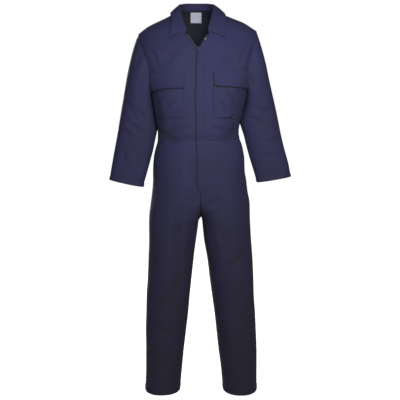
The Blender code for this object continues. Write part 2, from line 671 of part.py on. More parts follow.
def neckline(side, share):
    """A point of the neck seam, from 0 at the collar's front end to 1 at centre back."""
    inner_x = read(FRONT_COLUMNS, FRONT, "inner_x")[COLLAR_ROW:]
    inner_z = read(FRONT_COLUMNS, FRONT, "inner_z")[COLLAR_ROW:]
    centre = read(TRUNK_COLUMNS, TRUNK, "centre", inner_z)
    front_angle = angle_at(side, centre + side * inner_x, inner_z)
    back_angle = math.pi - np.radians(read(BACK_COLUMNS, BACK, "inner_angle")[NAPE_ROW:-1])[::-1]
    back_z = read(BACK_COLUMNS, BACK, "inner_z")[NAPE_ROW:-1][::-1]
    angle = np.concatenate([front_angle, back_angle])
    z = np.concatenate([inner_z, back_z])
    points = trunk(side)(angle, z)
    length = np.concatenate([[0], np.cumsum(np.linalg.norm(np.diff(points, axis=0), axis=1))])
    at = np.asarray(share) * length[-1]
    return np.stack([smooth(length, points[:, axis], at) for axis in range(3)], axis=-1)


def collar_half(side, steps):
    """Rows from the neck seam up the stand, over the roll and down the fall, front end to centre back."""
    share = np.linspace(0, 1, steps + 1)
    seam = neckline(side, share)
    middle = np.array([read(TRUNK_COLUMNS, TRUNK, "centre", 0.0), 0.0])
    inward = middle - seam[:, :2]
    inward /= np.linalg.norm(inward, axis=1, keepdims=True)
    rise = read(COLLAR_COLUMNS, COLLAR, "rise", share)
    lean = read(COLLAR_COLUMNS, COLLAR, "inward", share)
    angle = np.radians(read(COLLAR_COLUMNS, COLLAR, "edge_angle", share))
    edge_z = read(COLLAR_COLUMNS, COLLAR, "edge_z", share)
    lift = read(COLLAR_COLUMNS, COLLAR, "edge_lift", share)
    edge = trunk(side)(angle, edge_z) + outward(trunk(side), side, angle, edge_z) * lift[:, None]
    inside = np.concatenate([inward, np.zeros((len(share), 1))], axis=1)
    above = np.array([0.0, 0.0, 1.0])
    seam = seam + (above + inside) * SEAM_CLEAR
    roll = seam + above * rise[:, None] + inside * lean[:, None]
    out = edge - roll
    out[:, 2] = 0
    out /= np.linalg.norm(out, axis=1, keepdims=True)
    rows = [
        seam,
        blended(seam, roll - above * ROLL_RADIUS, 0.55),
        roll - above * ROLL_RADIUS * 0.6,
    ]
    for outward_share, up_share in ROLL_PROFILE:
        rows.append(roll + (out * outward_share + above * up_share) * ROLL_RADIUS)
    start = rows[-1]
    for part in FALL_SHARES:
        swell = math.sin(part * math.pi) * FALL_SWELL
        rows.append(blended(start, edge, part) + (out + above) * swell)
    return np.array(rows)


def collar(finish):
    right, left = collar_half(RIGHT, COLLAR_STEPS), collar_half(LEFT, COLLAR_STEPS)
    points = np.concatenate([right, left[:, -2::-1]], axis=1)
    normals = grid_normals(points)
    if normals[-1, points.shape[1] // 2, 1] < 0:
        normals = -normals
    wall("collar", points, normals, finish, DOUBLE_CLOTH)


def laid(name, side, angles, levels, inner_gap, thickness, finish, swell=0.0):
    """A piece laid on a front: a grid between four corners, given as angles and levels."""
    out = inner_gap + thickness + swell
    points, normals = draped(trunk(side), side, angles, levels, out)
    wall(name, waist_shift(points, levels), normals, finish, thickness)


def quad_places(side, top, foot, rows, columns):
    """Angles and levels between two inner and two outer corners, given as (x, z)."""
    corners = [(float(angle_at(side, x, z)), z) for x, z in (*top, *foot)]
    across = np.linspace(0, 1, columns + 1)[None, :]
    down = np.linspace(0, 1, rows + 1)[:, None]
    grids = []
    for part in (0, 1):
        upper = blended(corners[0][part], corners[1][part], across)
        lower = blended(corners[2][part], corners[3][part], across)
        grids.append(blended(lower, upper, down))
    return grids


def chest_pocket(side, finish):
    inner_x, outer_x, z = POCKET_TOP[side]
    foot_inner, foot_outer, foot_z = POCKET_FOOT[side]
    top, foot = ((inner_x, z), (outer_x, z)), ((foot_inner, foot_z), (foot_outer, foot_z))
    angle, level = quad_places(side, top, foot, 8, 8)
    down = np.linspace(0, 1, 9)[:, None]
    across = np.linspace(0, 1, 9)[None, :]
    swell = POCKET_SWELL * np.sin(down * math.pi) * np.sin(across * math.pi)
    laid("chest_pocket_" + side_name(side), side, angle, level, LAY_GAP, CLOTH, finish, swell)


def pocket_flap(side, finish):
    angle, level = quad_places(side, FLAP[side]["top"], FLAP[side]["foot"], 3, 9)
    across = np.linspace(0, 1, 10)[None, :]
    down = np.linspace(1, 0, 4)[:, None]
    swell = FLAP_TILT * down + FLAP_SWELL * down * np.sin(across * math.pi)
    gap = LAY_GAP + CLOTH + FLAP_GAP
    laid("pocket_flap_" + side_name(side), side, angle, level, gap, DOUBLE_CLOTH, finish, swell)


def fly_levels():
    """The levels of the trouser and front rows that the closed zip crosses, from its foot up."""
    trouser = [level for level in LEG_LEVELS if level > FLY_FOOT_Z]
    fronts = [level for level in read(FRONT_COLUMNS, FRONT, "inner_z") if level <= FLY_TOP_Z]
    return np.array([FLY_FOOT_Z] + trouser[::-1] + fronts)


def open_neck(side, share):
    """Offset and level along the open front edge, from the top of the closed zip to the collar."""
    x = blended(FLY_SLOT, read(FRONT_COLUMNS, FRONT, "inner_x")[COLLAR_ROW], share)
    z = blended(FLY_TOP_Z, read(FRONT_COLUMNS, FRONT, "inner_z")[COLLAR_ROW], share)
    return x, z


def strip(name, side, edges, finish, out, thickness):
    """A narrow band given by rows of (x from centre, z) at its two edges."""
    near, far = np.array(edges[0]), np.array(edges[1])
    middle = (near + far) / 2
    rows = []
    for place in (near, middle, far):
        centre = read(TRUNK_COLUMNS, TRUNK, "centre", place[:, 1])
        offset = place[:, 0]
        inner, outer, flat, _, _ = hip_section(side, place[:, 1])
        away = np.clip((np.abs(offset / (outer - inner)) - flat) / (1 - flat), 0, 1)
        angle = side * np.sign(offset) * np.arcsin(away ** (SQUARENESS / 2))
        level = place[:, 1]
        points = trunk(side)(angle, level)
        normals = outward(trunk(side), side, angle, level)
        points[:, 0] = centre + offset
        rows.append((waist_shift(folded(points, normals) + normals * out, level), normals))
    points = np.stack([row[0] for row in rows], axis=1)
    normals = np.stack([row[1] for row in rows], axis=1)
    wall(name, points, normals, finish, thickness)


def fly_placket(finish):
    """The covering strip: down the zip, and up the wearer's left side of the open neck."""
    levels = fly_levels()
    edge = smooth([row[0] for row in PLACKET], [row[1] for row in PLACKET], levels)
    near = list(zip(edge, levels))
    far = list(zip(edge + PLACKET_WIDTH, levels))
    for share in PLACKET_SHARES:
        x, z = open_neck(LEFT, share)
        near.append((x - PLACKET_LAP, z))
        width = blended(PLACKET_WIDTH, PLACKET_TOP_WIDTH, share)
        far.append((x - PLACKET_LAP + width, z + PLACKET_DROOP * share))
    strip("fly_placket", LEFT, (near, far), finish, LAY_GAP + DOUBLE_CLOTH, DOUBLE_CLOTH)


def zip_tape(side, finish):
    """A tape behind a front's edge, bare for a few millimetres past it."""
    levels = fly_levels()
    edges = []
    for closed, (beside, above) in zip(TAPE_EDGES, OPEN_TAPE_EDGES):
        edge = [(side * closed, z) for z in levels]
        for share in TAPE_SHARES:
            x, z = open_neck(side, share)
            edge.append((side * (x + beside), z + above))
        edges.append(edge)
    strip("zip_tape_" + side_name(side), side, edges, finish, -CLOTH - LAY_GAP, TAPE)


def neck_label(finish):
    """A plain woven label on the inside of the back, just under the neck seam."""
    x = np.linspace(-LABEL_WIDTH / 2, LABEL_WIDTH / 2, 5) + LABEL_X
    z = np.linspace(-LABEL_HEIGHT, 0.0, 5) + LABEL_TOP_Z
    x, z = np.meshgrid(x, z)
    centre = read(TRUNK_COLUMNS, TRUNK, "centre", z)
    offset = x - centre
    half = read(TRUNK_COLUMNS, TRUNK, "left", z)
    angle = math.pi - np.sign(offset) * np.arcsin((np.abs(offset) / half) ** (SQUARENESS / 2))
    points = trunk(LEFT)(angle, z)
    normals = outward(trunk(LEFT), LEFT, angle, z)
    points = points - normals * (CLOTH + LABEL_GAP)
    wall("neck_label", points, normals, finish, TAPE)


def side_tab(finish):
    """A small plain tab, sewn in at the outer lower corner of the wearer's left pocket."""
    angle, level = quad_places(LEFT, TAB_TOP, TAB_FOOT, 2, 3)
    gap = LAY_GAP + CLOTH + TAB_GAP
    laid("side_tab", LEFT, angle, level, gap, TAPE, finish)


def turned(bm, radius, depth, centre, axis_turn):
    made = bmesh.ops.create_cone(
        bm, cap_ends=True, segments=16, radius1=radius, radius2=radius * STUD_TAPER, depth=depth
    )
    turn = axis_turn.to_4x4()
    turn.translation = centre
    bmesh.ops.transform(bm, matrix=turn, verts=made["verts"])


def box(bm, low, high):
    made = bmesh.ops.create_cube(bm, size=1)
    low, high = np.array(low), np.array(high)
    for vertex in made["verts"]:
        vertex.co = [float(value) for value in (low + high) / 2 + np.array(vertex.co) * (high - low)]


def neck_stud(finish):
    """A press stud through the placket, just below the collar."""
    centre = float(read(TRUNK_COLUMNS, TRUNK, "centre", STUD_Z))
    level = np.array(STUD_Z)
    angle = angle_at(LEFT, centre + STUD_OFFSET, level)
    point = trunk(LEFT)(angle, level)
    normal = outward(trunk(LEFT), LEFT, angle, level)
    stack = LAY_GAP + DOUBLE_CLOTH + STUD_GAP
    bm = bmesh.new()
    place = Vector(point + normal * (stack + STUD_HEIGHT / 2))
    turned(bm, STUD_RADIUS, STUD_HEIGHT, place, Vector(normal).to_track_quat("Z", "Y").to_matrix())
    finished("neck_stud", bm, finish)


def combined(first, other, operation):
    """Applies a Boolean to the first object and removes the other."""
    join = first.modifiers.new("join", "BOOLEAN")
    join.operation = operation
    join.object = other
    graph = bpy.context.evaluated_depsgraph_get()
    mesh = bpy.data.meshes.new_from_object(first.evaluated_get(graph))
    first.modifiers.clear()
    first.data = mesh
    bpy.data.objects.remove(other)
    return first


def union(name, parts, finish):
    """One solid from several that overlap."""
    first = parts[0]
    for other in parts[1:]:
        combined(first, other, "UNION")
    first.name = name
    first.data.name = name
    first.data.materials.clear()
    first.data.materials.append(finish)
    return first


def piece_of(build, finish):
    bm = bmesh.new()
    build(bm)
    return finished("piece", bm, finish)


def bar(bm, radius, length, segments):
    """A round bar along X through the pull tab's axis."""
    made = bmesh.ops.create_cone(
        bm, cap_ends=True, segments=segments, radius1=radius, radius2=radius, depth=length
    )
    bmesh.ops.rotate(bm, matrix=Matrix.Rotation(math.pi / 2, 3, "Y"), verts=made["verts"])


def on_zip(made):
    """Places a piece drawn round the pull tab's axis, with +Z up the cloth and -Y out of it."""
    surface = trunk(LEFT)
    centre, level = np.array(0.0), np.array(PULL_Z)
    y = float(surface(centre, level)[1])
    normal = outward(surface, LEFT, centre, level)
    slope = math.atan2(float(normal[2]), -float(normal[1]))
    turn = Matrix.Rotation(-slope, 4, "X")
    out = Vector((0.0, float(normal[1]), float(normal[2]))) * PULL_STAND_OFF
    turn.translation = Vector((PULL_X, y, PULL_Z)) + out
    made.data.transform(turn)


def zip_slider(finish):
    """The slider's body with two posts and the bar that the pull tab swings on."""
    half = SLIDER_WIDTH / 2
    face = PULL_STAND_OFF
    body_low = (-half, face - 0.0034, 0.0022 - SLIDER_HEIGHT)
    body_high = (half, face - 0.0002, 0.0022)
    parts = [piece_of(lambda bm: box(bm, body_low, body_high), finish)]
    for side in (RIGHT, LEFT):
        post_x = side * (TAB_WIDTH / 2 + 0.0008)
        low = (post_x - 0.0005, -BAR_RADIUS - 0.0003, -0.0011)
        high = (post_x + 0.0005, face - 0.0030, 0.0011)
        parts.append(piece_of(lambda bm, low=low, high=high: box(bm, low, high), finish))
    parts.append(piece_of(lambda bm: bar(bm, BAR_RADIUS, TAB_WIDTH + 0.0018, 12), finish))
    on_zip(union("zip_slider", parts, finish))


def pull_tab(finish):
    """The pull tab: an eye round the slider's bar, and a flat tongue that hangs from it."""
    low = (-TAB_WIDTH / 2, -TAB_THICKNESS / 2, -TAB_LENGTH)
    high = (TAB_WIDTH / 2, TAB_THICKNESS / 2, -EYE_RADIUS - 0.0002)
    eye = piece_of(lambda bm: bar(bm, EYE_RADIUS + EYE_WALL, TAB_WIDTH, 16), finish)
    tongue = piece_of(lambda bm: box(bm, low, high), finish)
    made = union("pull_tab", [eye, tongue], finish)
    hole = piece_of(lambda bm: bar(bm, EYE_RADIUS, TAB_WIDTH * 3, 16), finish)
    on_zip(combined(made, hole, "DIFFERENCE"))


def main():
    for old in list(bpy.data.objects):
        bpy.data.objects.remove(old)
    twill = material("navy_twill", NAVY, 0.85)
    tape = material("zip_tape_weave", NAVY_TAPE, 0.8)
    woven = material("label_satin", LABEL_GREY, 0.6)
    nickel = material("nickel_plate", NICKEL, 0.3, 1.0)
    enamel = material("navy_enamel", NAVY, 0.4, 0.3)
    for side in (RIGHT, LEFT):
        front_bodice(side, twill)
        sleeve(side, twill)
        trouser_panel(side, False, twill)
        trouser_panel(side, True, twill)
        chest_pocket(side, twill)
        pocket_flap(side, twill)
        zip_tape(side, tape)
    back_bodice(twill)
    collar(twill)
    fly_placket(twill)
    neck_label(woven)
    side_tab(twill)
    neck_stud(nickel)
    zip_slider(enamel)
    pull_tab(enamel)


main()
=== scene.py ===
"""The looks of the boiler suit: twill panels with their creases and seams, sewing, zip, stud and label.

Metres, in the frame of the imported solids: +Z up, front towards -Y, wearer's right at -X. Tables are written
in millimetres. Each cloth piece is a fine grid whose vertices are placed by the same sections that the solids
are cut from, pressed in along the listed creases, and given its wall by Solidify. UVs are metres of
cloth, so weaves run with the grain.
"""

import math
from functools import partial

import bmesh
import bpy
import numpy as np
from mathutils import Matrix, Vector


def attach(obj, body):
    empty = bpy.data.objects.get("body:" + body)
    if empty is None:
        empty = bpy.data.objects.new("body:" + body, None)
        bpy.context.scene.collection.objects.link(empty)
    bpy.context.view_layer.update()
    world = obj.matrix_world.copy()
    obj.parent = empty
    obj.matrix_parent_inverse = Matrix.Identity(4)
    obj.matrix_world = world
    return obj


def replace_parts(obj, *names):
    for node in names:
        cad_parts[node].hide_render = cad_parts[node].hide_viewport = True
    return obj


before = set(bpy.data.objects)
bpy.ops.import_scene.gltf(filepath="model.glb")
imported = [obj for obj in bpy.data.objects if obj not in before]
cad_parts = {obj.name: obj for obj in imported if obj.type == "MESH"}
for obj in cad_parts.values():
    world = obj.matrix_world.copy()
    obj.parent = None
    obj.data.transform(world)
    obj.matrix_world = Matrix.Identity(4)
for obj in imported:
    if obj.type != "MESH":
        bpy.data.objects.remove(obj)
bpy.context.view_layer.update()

RIGHT, LEFT = -1, 1
SIDES = {RIGHT: "right", LEFT: "left"}
UP = np.array([0.0, 0.0, 1.0])

# Cloth and seams
CLOTH = 0.0015
DOUBLE_CLOTH = 0.0022
TAPE = 0.0010
LAY_GAP = 0.0009  # between a piece that is laid on a panel and that panel
HEM_SWELL = 0.0012  # a turned hem stands out this far
HEM_HEIGHT = 0.020
HEM_ROW = 0.018  # a hem's row of stitches, from the cuff or foot
FELL_WIDTH, FELL_HEIGHT = 0.010, 0.0007  # a felled seam's doubled band
TWIN_ROWS = (0.0016, 0.0080)  # a felled seam's rows of stitches, from the seam
EDGE_ROW = 0.006  # the row of stitches along a turned edge
PATCH_ROWS = (0.0016, 0.0076)  # the rows that hold a patch pocket
TAB_ROWS = (0.0012, 0.0018, 0.0024)
BACK_WELD, SLEEVE_WELD = 0.0004, 0.00015  # grid edges that meet are joined within this distance
GROOVE_DEPTH, GROOVE_WIDTH = 0.0011, 0.0016  # where two panels are joined
# painted shade in that groove, and its width
GROOVE_SHADE, SHADE_WIDTH = 0.30, 0.0022
PUCKER, PUCKER_PITCH = 0.0005, 0.0125  # of the thread that joins them
HEM_LINE, HEM_LINE_WIDTH, HEM_SHADE = 0.0009, 0.0014, 0.25  # the line of a hem's stitches, and the painted shade along it
RIPPLE, RIPPLE_PITCH = 0.0006, 0.016  # of the hem below that line
GATHER, GATHER_PITCH = 0.0009, 0.019  # of the sleeve below the armhole
ROLL, LINE_WIDTH = 0.0005, 0.0011  # a turned edge's roll, and the line of its stitches
EDGE_SHADE, EDGE_SHADE_WIDTH = 0.5, 0.0014  # painted shade: how much darker a pocket's or flap's very edge is
COLLAR_EDGE_SHADE, COLLAR_EDGE_SHADE_WIDTH = 0.6, 0.0022  # the same for the collar
ARMHOLE_DEPTH = 0.0024  # the set-in seam lies this deep
LAP = 0.004  # the sleeve runs on under the armhole's edge
LAP_DEPTH = 0.0023  # and there lies this much deeper
CREASES_FADE = 0.035  # a sleeve's creases fade in over this length
POCKET_BELLY = 0.0022  # a pocket stands out this far in its middle
FLAP_GAP = 0.0008  # between a flap and its pocket
FLAP_TILT = 0.0034  # a flap's foot stands out this far
FLAP_BELLY, FLAP_CORNER = 0.0016, 0.0025  # and this much more in its middle and at its inner corner
FULLNESS, FULLNESS_Y = 0.013, 0.046  # how far the back blouses out beside the arm, and where
FULLNESS_Z = {RIGHT: -0.420, LEFT: -0.414}
PLACKET_SHADE = 0.0062  # from the right front's edge to the line of painted shadow beside the placket's edge
OPEN_SHARE = 0.22  # share of a front's edge that lies above the closed zip
TROUGH_SHADE = 0.30  # painted shade: a crease is this much darker at its deepest
SHADED_FROM, SHADED_OVER = 0.0015, 0.0050  # the depth where that starts, and how much more it takes
COLLAR_SPRING = 0.0022  # the collar's edge stands off this much more than the solid's
COLLAR_SEAM = 0.0012  # the collar is sewn on this far above and inside the neck seam
STITCH_PITCH = 0.0034
STITCH_HALF = 0.44  # half of a stitch's length, as a share of its pitch
THREAD_RADIUS = 0.00028
THREAD_LIFT = 0.0002  # a row of stitches lies this far off the cloth
THREAD_FLAT = 0.8  # a stitch is this much flatter than it is wide
TWILL_PITCH, TWILL_ANGLE = 0.0008, math.radians(28)
WAVE_SCALE = 0.314  # makes one wave of the texture span one unit
# a cloud of dye is 143 mm wide, a fleck of yarn 3.1 mm, and a grain of the plain finishes 1.1 mm,
# which is coarser than a real one, because that is too fine to show
MOTTLE_WIDTH, FLECK_WIDTH, GRAIN_WIDTH = 1 / 7, 1 / 320, 1 / 900
TOOTH_PITCH = 0.0025
TOOTH = (0.0013, 0.0026, 0.0016)  # along the tape, across it and off it
TOOTH_BEVEL = 0.15  # as a share of its size
TOOTH_LINE = 0.04  # the teeth stand this share of the tape's width in
LABEL_WIDTH, LABEL_HEIGHT, LABEL_X = 0.046, 0.041, -0.017
LABEL_GAP, TAB_GAP = 1.8 * LAY_GAP, 0.0015  # from the back, and from the pocket

# Grids of the cut pieces, in quads across and down
BODICE_GRID, LEG_GRID, SLEEVE_GRID, COLLAR_GRID = (70, 150), (66, 236), (110, 150), (150, 44)
POCKET_GRID, FLAP_GRID, PLACKET_GRID, TAPE_GRID = (60, 76), (60, 28), (18, 236), (8, 230)
LABEL_GRID, TAB_GRID = (24, 20), (12, 10)

# Main levels
WAIST_Z = -0.525
WAIST_TILT = 0.020  # rise of the waist seam for each metre towards the wearer's left
SEAT_Z = -0.736
CROTCH_Z = -0.854
HIP_Z = -0.600
THIGH_Z = -0.980
HEM_Z = -1.630
UNDERARM_Z = -0.335
FLY_TOP_Z = -0.166
FLY_FOOT_Z = -0.733
FLY_LENGTH = WAIST_Z - FLY_FOOT_Z
FLY_SLOT = 0.004

SQUARENESS = 2.4  # 2 is an ellipse, more is a squarer section
LEG_SQUARENESS = 2.2
SLEEVE_SQUARENESS = 2.3
SHOULDER_TIP_Z = {RIGHT: -0.100, LEFT: -0.087}


def metres(*rows):
    """Rows that are written in millimetres."""
    return np.array(rows, float) / 1000


def table(columns, *rows, plain=()):
    """Columns by name, in metres from millimetres. Plain columns, shares or degrees, stay as written."""
    pairs = zip(columns.split(), np.array(rows, float).T)
    return {name: values if name in plain else values / 1000 for name, values in pairs}


# Upper body and hips: half widths from the centre line, and depths from the side seams
TRUNK = table(
    "z centre right left front back",
    (12, -12, 52, 52, 28, 60),
    (-4, -12, 80, 80, 40, 68),
    (-18, -12, 107, 109, 53, 76),
    (-30, -12, 130, 141, 62, 82),
    (-54, -11, 177, 194, 77, 91),
    (-70, -11, 206, 219, 85, 97),
    (-87, -11, 231, 245, 92, 102),
    (-100, -10, 246, 251, 97, 106),
    (-130, -9, 252, 254, 109, 114),
    (-166, -7, 252, 252, 120, 121),
    (-230, -8, 240, 244, 131, 129),
    (-286, -8, 221, 228, 135, 133),
    (-335, -8, 197, 207, 136, 133),
    (-375, -8, 190, 197, 135, 131),
    (-418, -7, 183, 185, 133, 127),
    (-450, -6, 179, 176, 131, 123),
    (-475, -6, 175, 171, 130, 119),
    (-500, -5, 173, 168, 128, 116),
    (-525, -5, 173, 171, 121, 111),
    (-550, -4, 180, 180, 122, 115),
    (-575, -4, 187, 187, 124, 121),
    (-610, -3, 194, 192, 126, 130),
    (-660, -2, 198, 193, 128, 140),
    (-700, -1, 199, 198, 129, 146),
    (-750, 1, 205, 202, 128, 147),
    (-800, 3, 213, 209, 126, 143),
    (-854, 5, 221, 208, 124, 136),
    (-905, 5, 223, 211, 120, 131),
)

# Legs: where the outseam and the inseam run, and depths from them
LEG = table(
    "z right_out right_in left_in left_out front back",
    (-800, -210, 25, -15, 212, 126, 143),
    (-854, -216, 5, 5, 213, 124, 136),
    (-872, -217, -6, 10, 214, 123, 134),
    (-905, -218, -11, 14, 216, 120, 131),
    (-960, -220, -18, 19, 220, 116, 125),
    (-1040, -224, -28, 31, 227, 109, 118),
    (-1120, -226, -37, 41, 232, 102, 112),
    (-1200, -231, -45, 52, 236, 97, 108),
    (-1280, -234, -52, 62, 242, 93, 105),
    (-1370, -238, -63, 73, 246, 90, 101),
    (-1450, -238, -73, 83, 250, 88, 96),
    (-1530, -238, -81, 93, 252, 87, 92),
    (-1630, -241, -89, 101, 253, 88, 88),
)
LEG_LEVELS = list(
    metres(
        -525, -556, -588, -622, -660, -700, -733, -760, -785, -807, -825, -839, -848, -854, -872,
        -905, -955, -1010, -1065, -1120, -1175, -1230, -1285, -1345, -1410, -1480, -1550, -1612, -1630,
    )
)

# Fronts from the waist up: the edge at the zip, open neck and neckline, and the side seam and armhole
FRONT = table(
    "inner_x inner_z outer_angle outer_z",
    (4, -525, 90, -525),
    (4, -512, 90, -512),
    (4, -492, 90, -494),
    (4, -462, 90, -468),
    (4, -425, 90, -438),
    (4, -388, 90, -405),
    (4, -350, 90, -370),
    (4, -312, 90, -335),
    (4, -275, 72, -318),
    (4, -240, 61, -292),
    (4, -203, 56.5, -258),
    (4, -166, 55.5, -222),
    (26, -132, 57.5, -188),
    (46, -98, 61.5, -157),
    (57, -66, 67, -132),
    (67, -38, 74, -115),
    (76, -16, 82, -104),
    (80, -4, 90, -100),
    plain=("outer_angle",),
)
BACK = table(
    "inner_angle inner_z outer_angle outer_z",
    (0, -525, 90, -525),
    (0, -512, 90, -512),
    (0, -492, 90, -494),
    (0, -462, 90, -468),
    (0, -425, 90, -438),
    (0, -388, 90, -405),
    (0, -348, 90, -370),
    (0, -306, 90, -335),
    (0, -264, 75, -318),
    (0, -222, 67, -292),
    (0, -180, 63.5, -258),
    (0, -138, 62.5, -222),
    (0, -96, 63.5, -188),
    (0, -55, 67, -157),
    (0, -22, 72, -132),
    (0, 6, 78, -116),
    (30, 5, 84, -106),
    (60, 1, 88, -102),
    (90, -4, 90, -100),
    plain=("inner_angle", "outer_angle"),
)
FRONT_LAST, BACK_LAST = len(FRONT["outer_z"]) - 1, len(BACK["outer_z"]) - 1
UNDERARM_ROW = 7
COLLAR_ROW = 13  # the row of a front where the collar's end is sewn
NAPE_ROW = 15  # the row of the back that meets the neck seam at its middle

# Sleeves from the armhole down: the ends of each section as seen from the front, its half depths, and the
# share of the armhole's own line in it
sleeve_table = partial(table, "out_x out_z in_x in_z middle_y front back loop_share", plain=("loop_share",))
SLEEVE = {
    RIGHT: sleeve_table(
        (-258, -100, -206, -335, 0, 78, 70, 1),
        (-270, -129, -205, -344, 0, 80, 74, 0.62),
        (-283, -176, -200, -358, 1, 80, 76, 0.28),
        (-293, -222, -195, -375, 3, 78, 76, 0.08),
        (-303, -270, -190, -395, 6, 74, 74, 0),
        (-313, -322, -185, -418, 9, 70, 71, 0),
        (-323, -375, -182, -443, 11, 65, 67, 0),
        (-333, -425, -180, -470, 12, 61, 63, 0),
        (-339, -457, -182.2, -496, 12, 58, 60, 0),
        (-344, -485, -187.5, -522, 11, 55, 57, 0),
        (-354, -535, -197, -570, 8, 50, 52, 0),
        (-364, -585, -210, -620, 3, 45, 47, 0),
        (-374, -637, -224, -672, -3, 41, 42, 0),
        (-382, -680, -236, -712, -7, 39, 39, 0),
        (-385, -696, -239, -728, -9, 38, 38, 0),
    ),
    LEFT: sleeve_table(
        (236, -87, 200, -335, 0, 78, 70, 1),
        (246, -118, 198, -344, 0, 80, 74, 0.62),
        (259, -165, 192, -358, 1, 80, 76, 0.28),
        (271, -212, 186, -374, 3, 78, 76, 0.08),
        (283, -262, 182, -393, 6, 74, 74, 0),
        (296, -312, 176, -415, 9, 70, 71, 0),
        (309, -364, 170, -440, 11, 65, 67, 0),
        (319, -408, 171.5, -461, 12, 61, 63, 0),
        (326, -438, 176, -482, 12, 58, 60, 0),
        (334, -472, 183.5, -509, 11, 55, 57, 0),
        (347, -523, 194, -553, 8, 50, 52, 0),
        (360, -574, 208, -602, 3, 45, 47, 0),
        (374, -626, 225, -652, -3, 40, 42, 0),
        (382, -667, 237, -692, -7, 39, 39, 0),
        (385, -683, 241, -708, -9, 38, 38, 0),
    ),
}
SLEEVE_LAST = len(SLEEVE[RIGHT]["out_z"]) - 1
SLEEVE_START = 2 / 150  # share of the sleeve's grid that lies under the armhole's edge
SLEEVE_CLEAR = 0.0018  # the sleeve hangs this far off the side of the body

# Collar from its front end to centre back: its roll above and inside the neck seam, how far the roll leans in
# over the neck on each side, and where its free edge lies
COLLAR = table(
    "share rise inward over_right over_left edge_angle edge_z edge_lift",
    (0, 6, 0, 2, 3, 21.5, -119, 5),
    (0.04, 6, 0, 6, 7, 21.8, -112, 4.9),
    (0.09, 7, 1, 5, 8, 22.1, -104, 4.8),
    (0.14, 8, 3, 3, 6, 22.6, -96, 4.6),
    (0.3, 13, 6, 1, 4, 27, -66, 4.4),
    (0.45, 19, 8, 0, 4, 42, -38, 4.8),
    (0.58, 24, 7, 0, 2, 66, -22, 5.6),
    (0.72, 26, 4, 0, 1, 100, -16, 6),
    (0.86, 27, 1, 0, 0, 135, -15, 6),
    (1, 27, 0, 0, 0, 180, -15, 6),
    plain=("share", "edge_angle"),
)
ROLL_RADIUS = 0.0030
ROLL_SECTION = ((0, -0.6), (0.35, 0.35), (1.25, 0.5), (2.1, -0.5))  # out and up over the roll, in its radii
FALL_SHARES, FALL_SWELL = (0.3, 0.65, 1.0), 0.0012  # rows of the fall, and how far it swells between its ends

PLACKET = table(
    "z edge_x",
    (-166, -2),
    (-190, -5),
    (-250, -6),
    (-365, -9),
    (-480, -9),
    (-590, -9),
    (-690, -9),
    (-733, -8),
)
PLACKET_WIDTH = 0.033
PLACKET_TOP_WIDTH = 0.022
PLACKET_TOP = 0.82  # how far up the open neck the placket runs
PLACKET_OPEN = 0.12  # share of its length that lies along the open neck
PLACKET_INSET, PLACKET_SLANT = 0.001, 0.008  # its edge inside the open front's, and the rise of its top
PLACKET_ROWS = {"inner": 0.006, "outer": 0.0020, "foot": 0.004}  # its stitches, from each edge
TAPE_TOP, TAPE_OPEN = 0.96, 0.13  # the same shares for the zip's tapes
TAPE_SPAN = ((-0.0055, 0.0100), (-0.0015, 0.0030), (0.0008, 0.0150))  # a shape's values at both edges

# Chest pockets, flaps and tab: corners (x, z), two at the top and two at the foot, the inner one first
POCKET = {
    RIGHT: metres((-66, -262), (-190, -262), (-66, -434), (-168, -434)),
    LEFT: metres((53, -256), (184, -256), (55, -434), (158, -434)),
}
FLAP = {
    RIGHT: metres((-60, -255), (-197, -253), (-58, -315), (-192, -329)),
    LEFT: metres((50, -252), (188, -243), (58, -306), (188, -314)),
}
TAB = metres((128, -416), (150, -416), (128, -436), (148, -436))
FLAP_BOW = {RIGHT: 2.6, LEFT: 1.0}  # over 1 the flap's foot stays level near centre front, then drops
FLAP_SHADE = {RIGHT: 0.40, LEFT: 0.60}  # painted shadow: how dark the pocket is just below its flap
FLAP_PRINT = 0.0125  # the pocket's side shows through the flap on the wearer's right, this far in, as a groove with painted shade

# Largest folds, which the solids have too, as soft troughs: x and z of both ends, width and depth
FRONT_FOLDS = metres(
    (-168, -498, -118, -522, 20, 7),
    (158, -486, 112, -515, 20, 7),
    (-98, -905, -150, -1075, 26, 5),
    (-70, -1120, -190, -1215, 28, 5),
    (180, -1150, 100, -1235, 28, 4.5),
    (75, -900, 150, -1000, 26, 4),
    (-215, -1440, -120, -1500, 28, 4),
    (120, -1430, 215, -1500, 28, 4),
)
BACK_FOLDS = metres(
    (-60, -520, -75, -430, 22, 6),
    (70, -520, 90, -420, 22, 6),
    (-140, -515, -160, -440, 20, 6),
    (150, -510, 155, -440, 20, 5.5),
    (-40, -860, -150, -930, 28, 6),
    (45, -865, 150, -945, 28, 6),
    (-200, -1160, -90, -1230, 28, 6),
    (205, -1150, 110, -1240, 28, 6),
    (-110, -1260, -190, -1320, 28, 4.5),
    (120, -1270, 200, -1330, 28, 4.5),
)

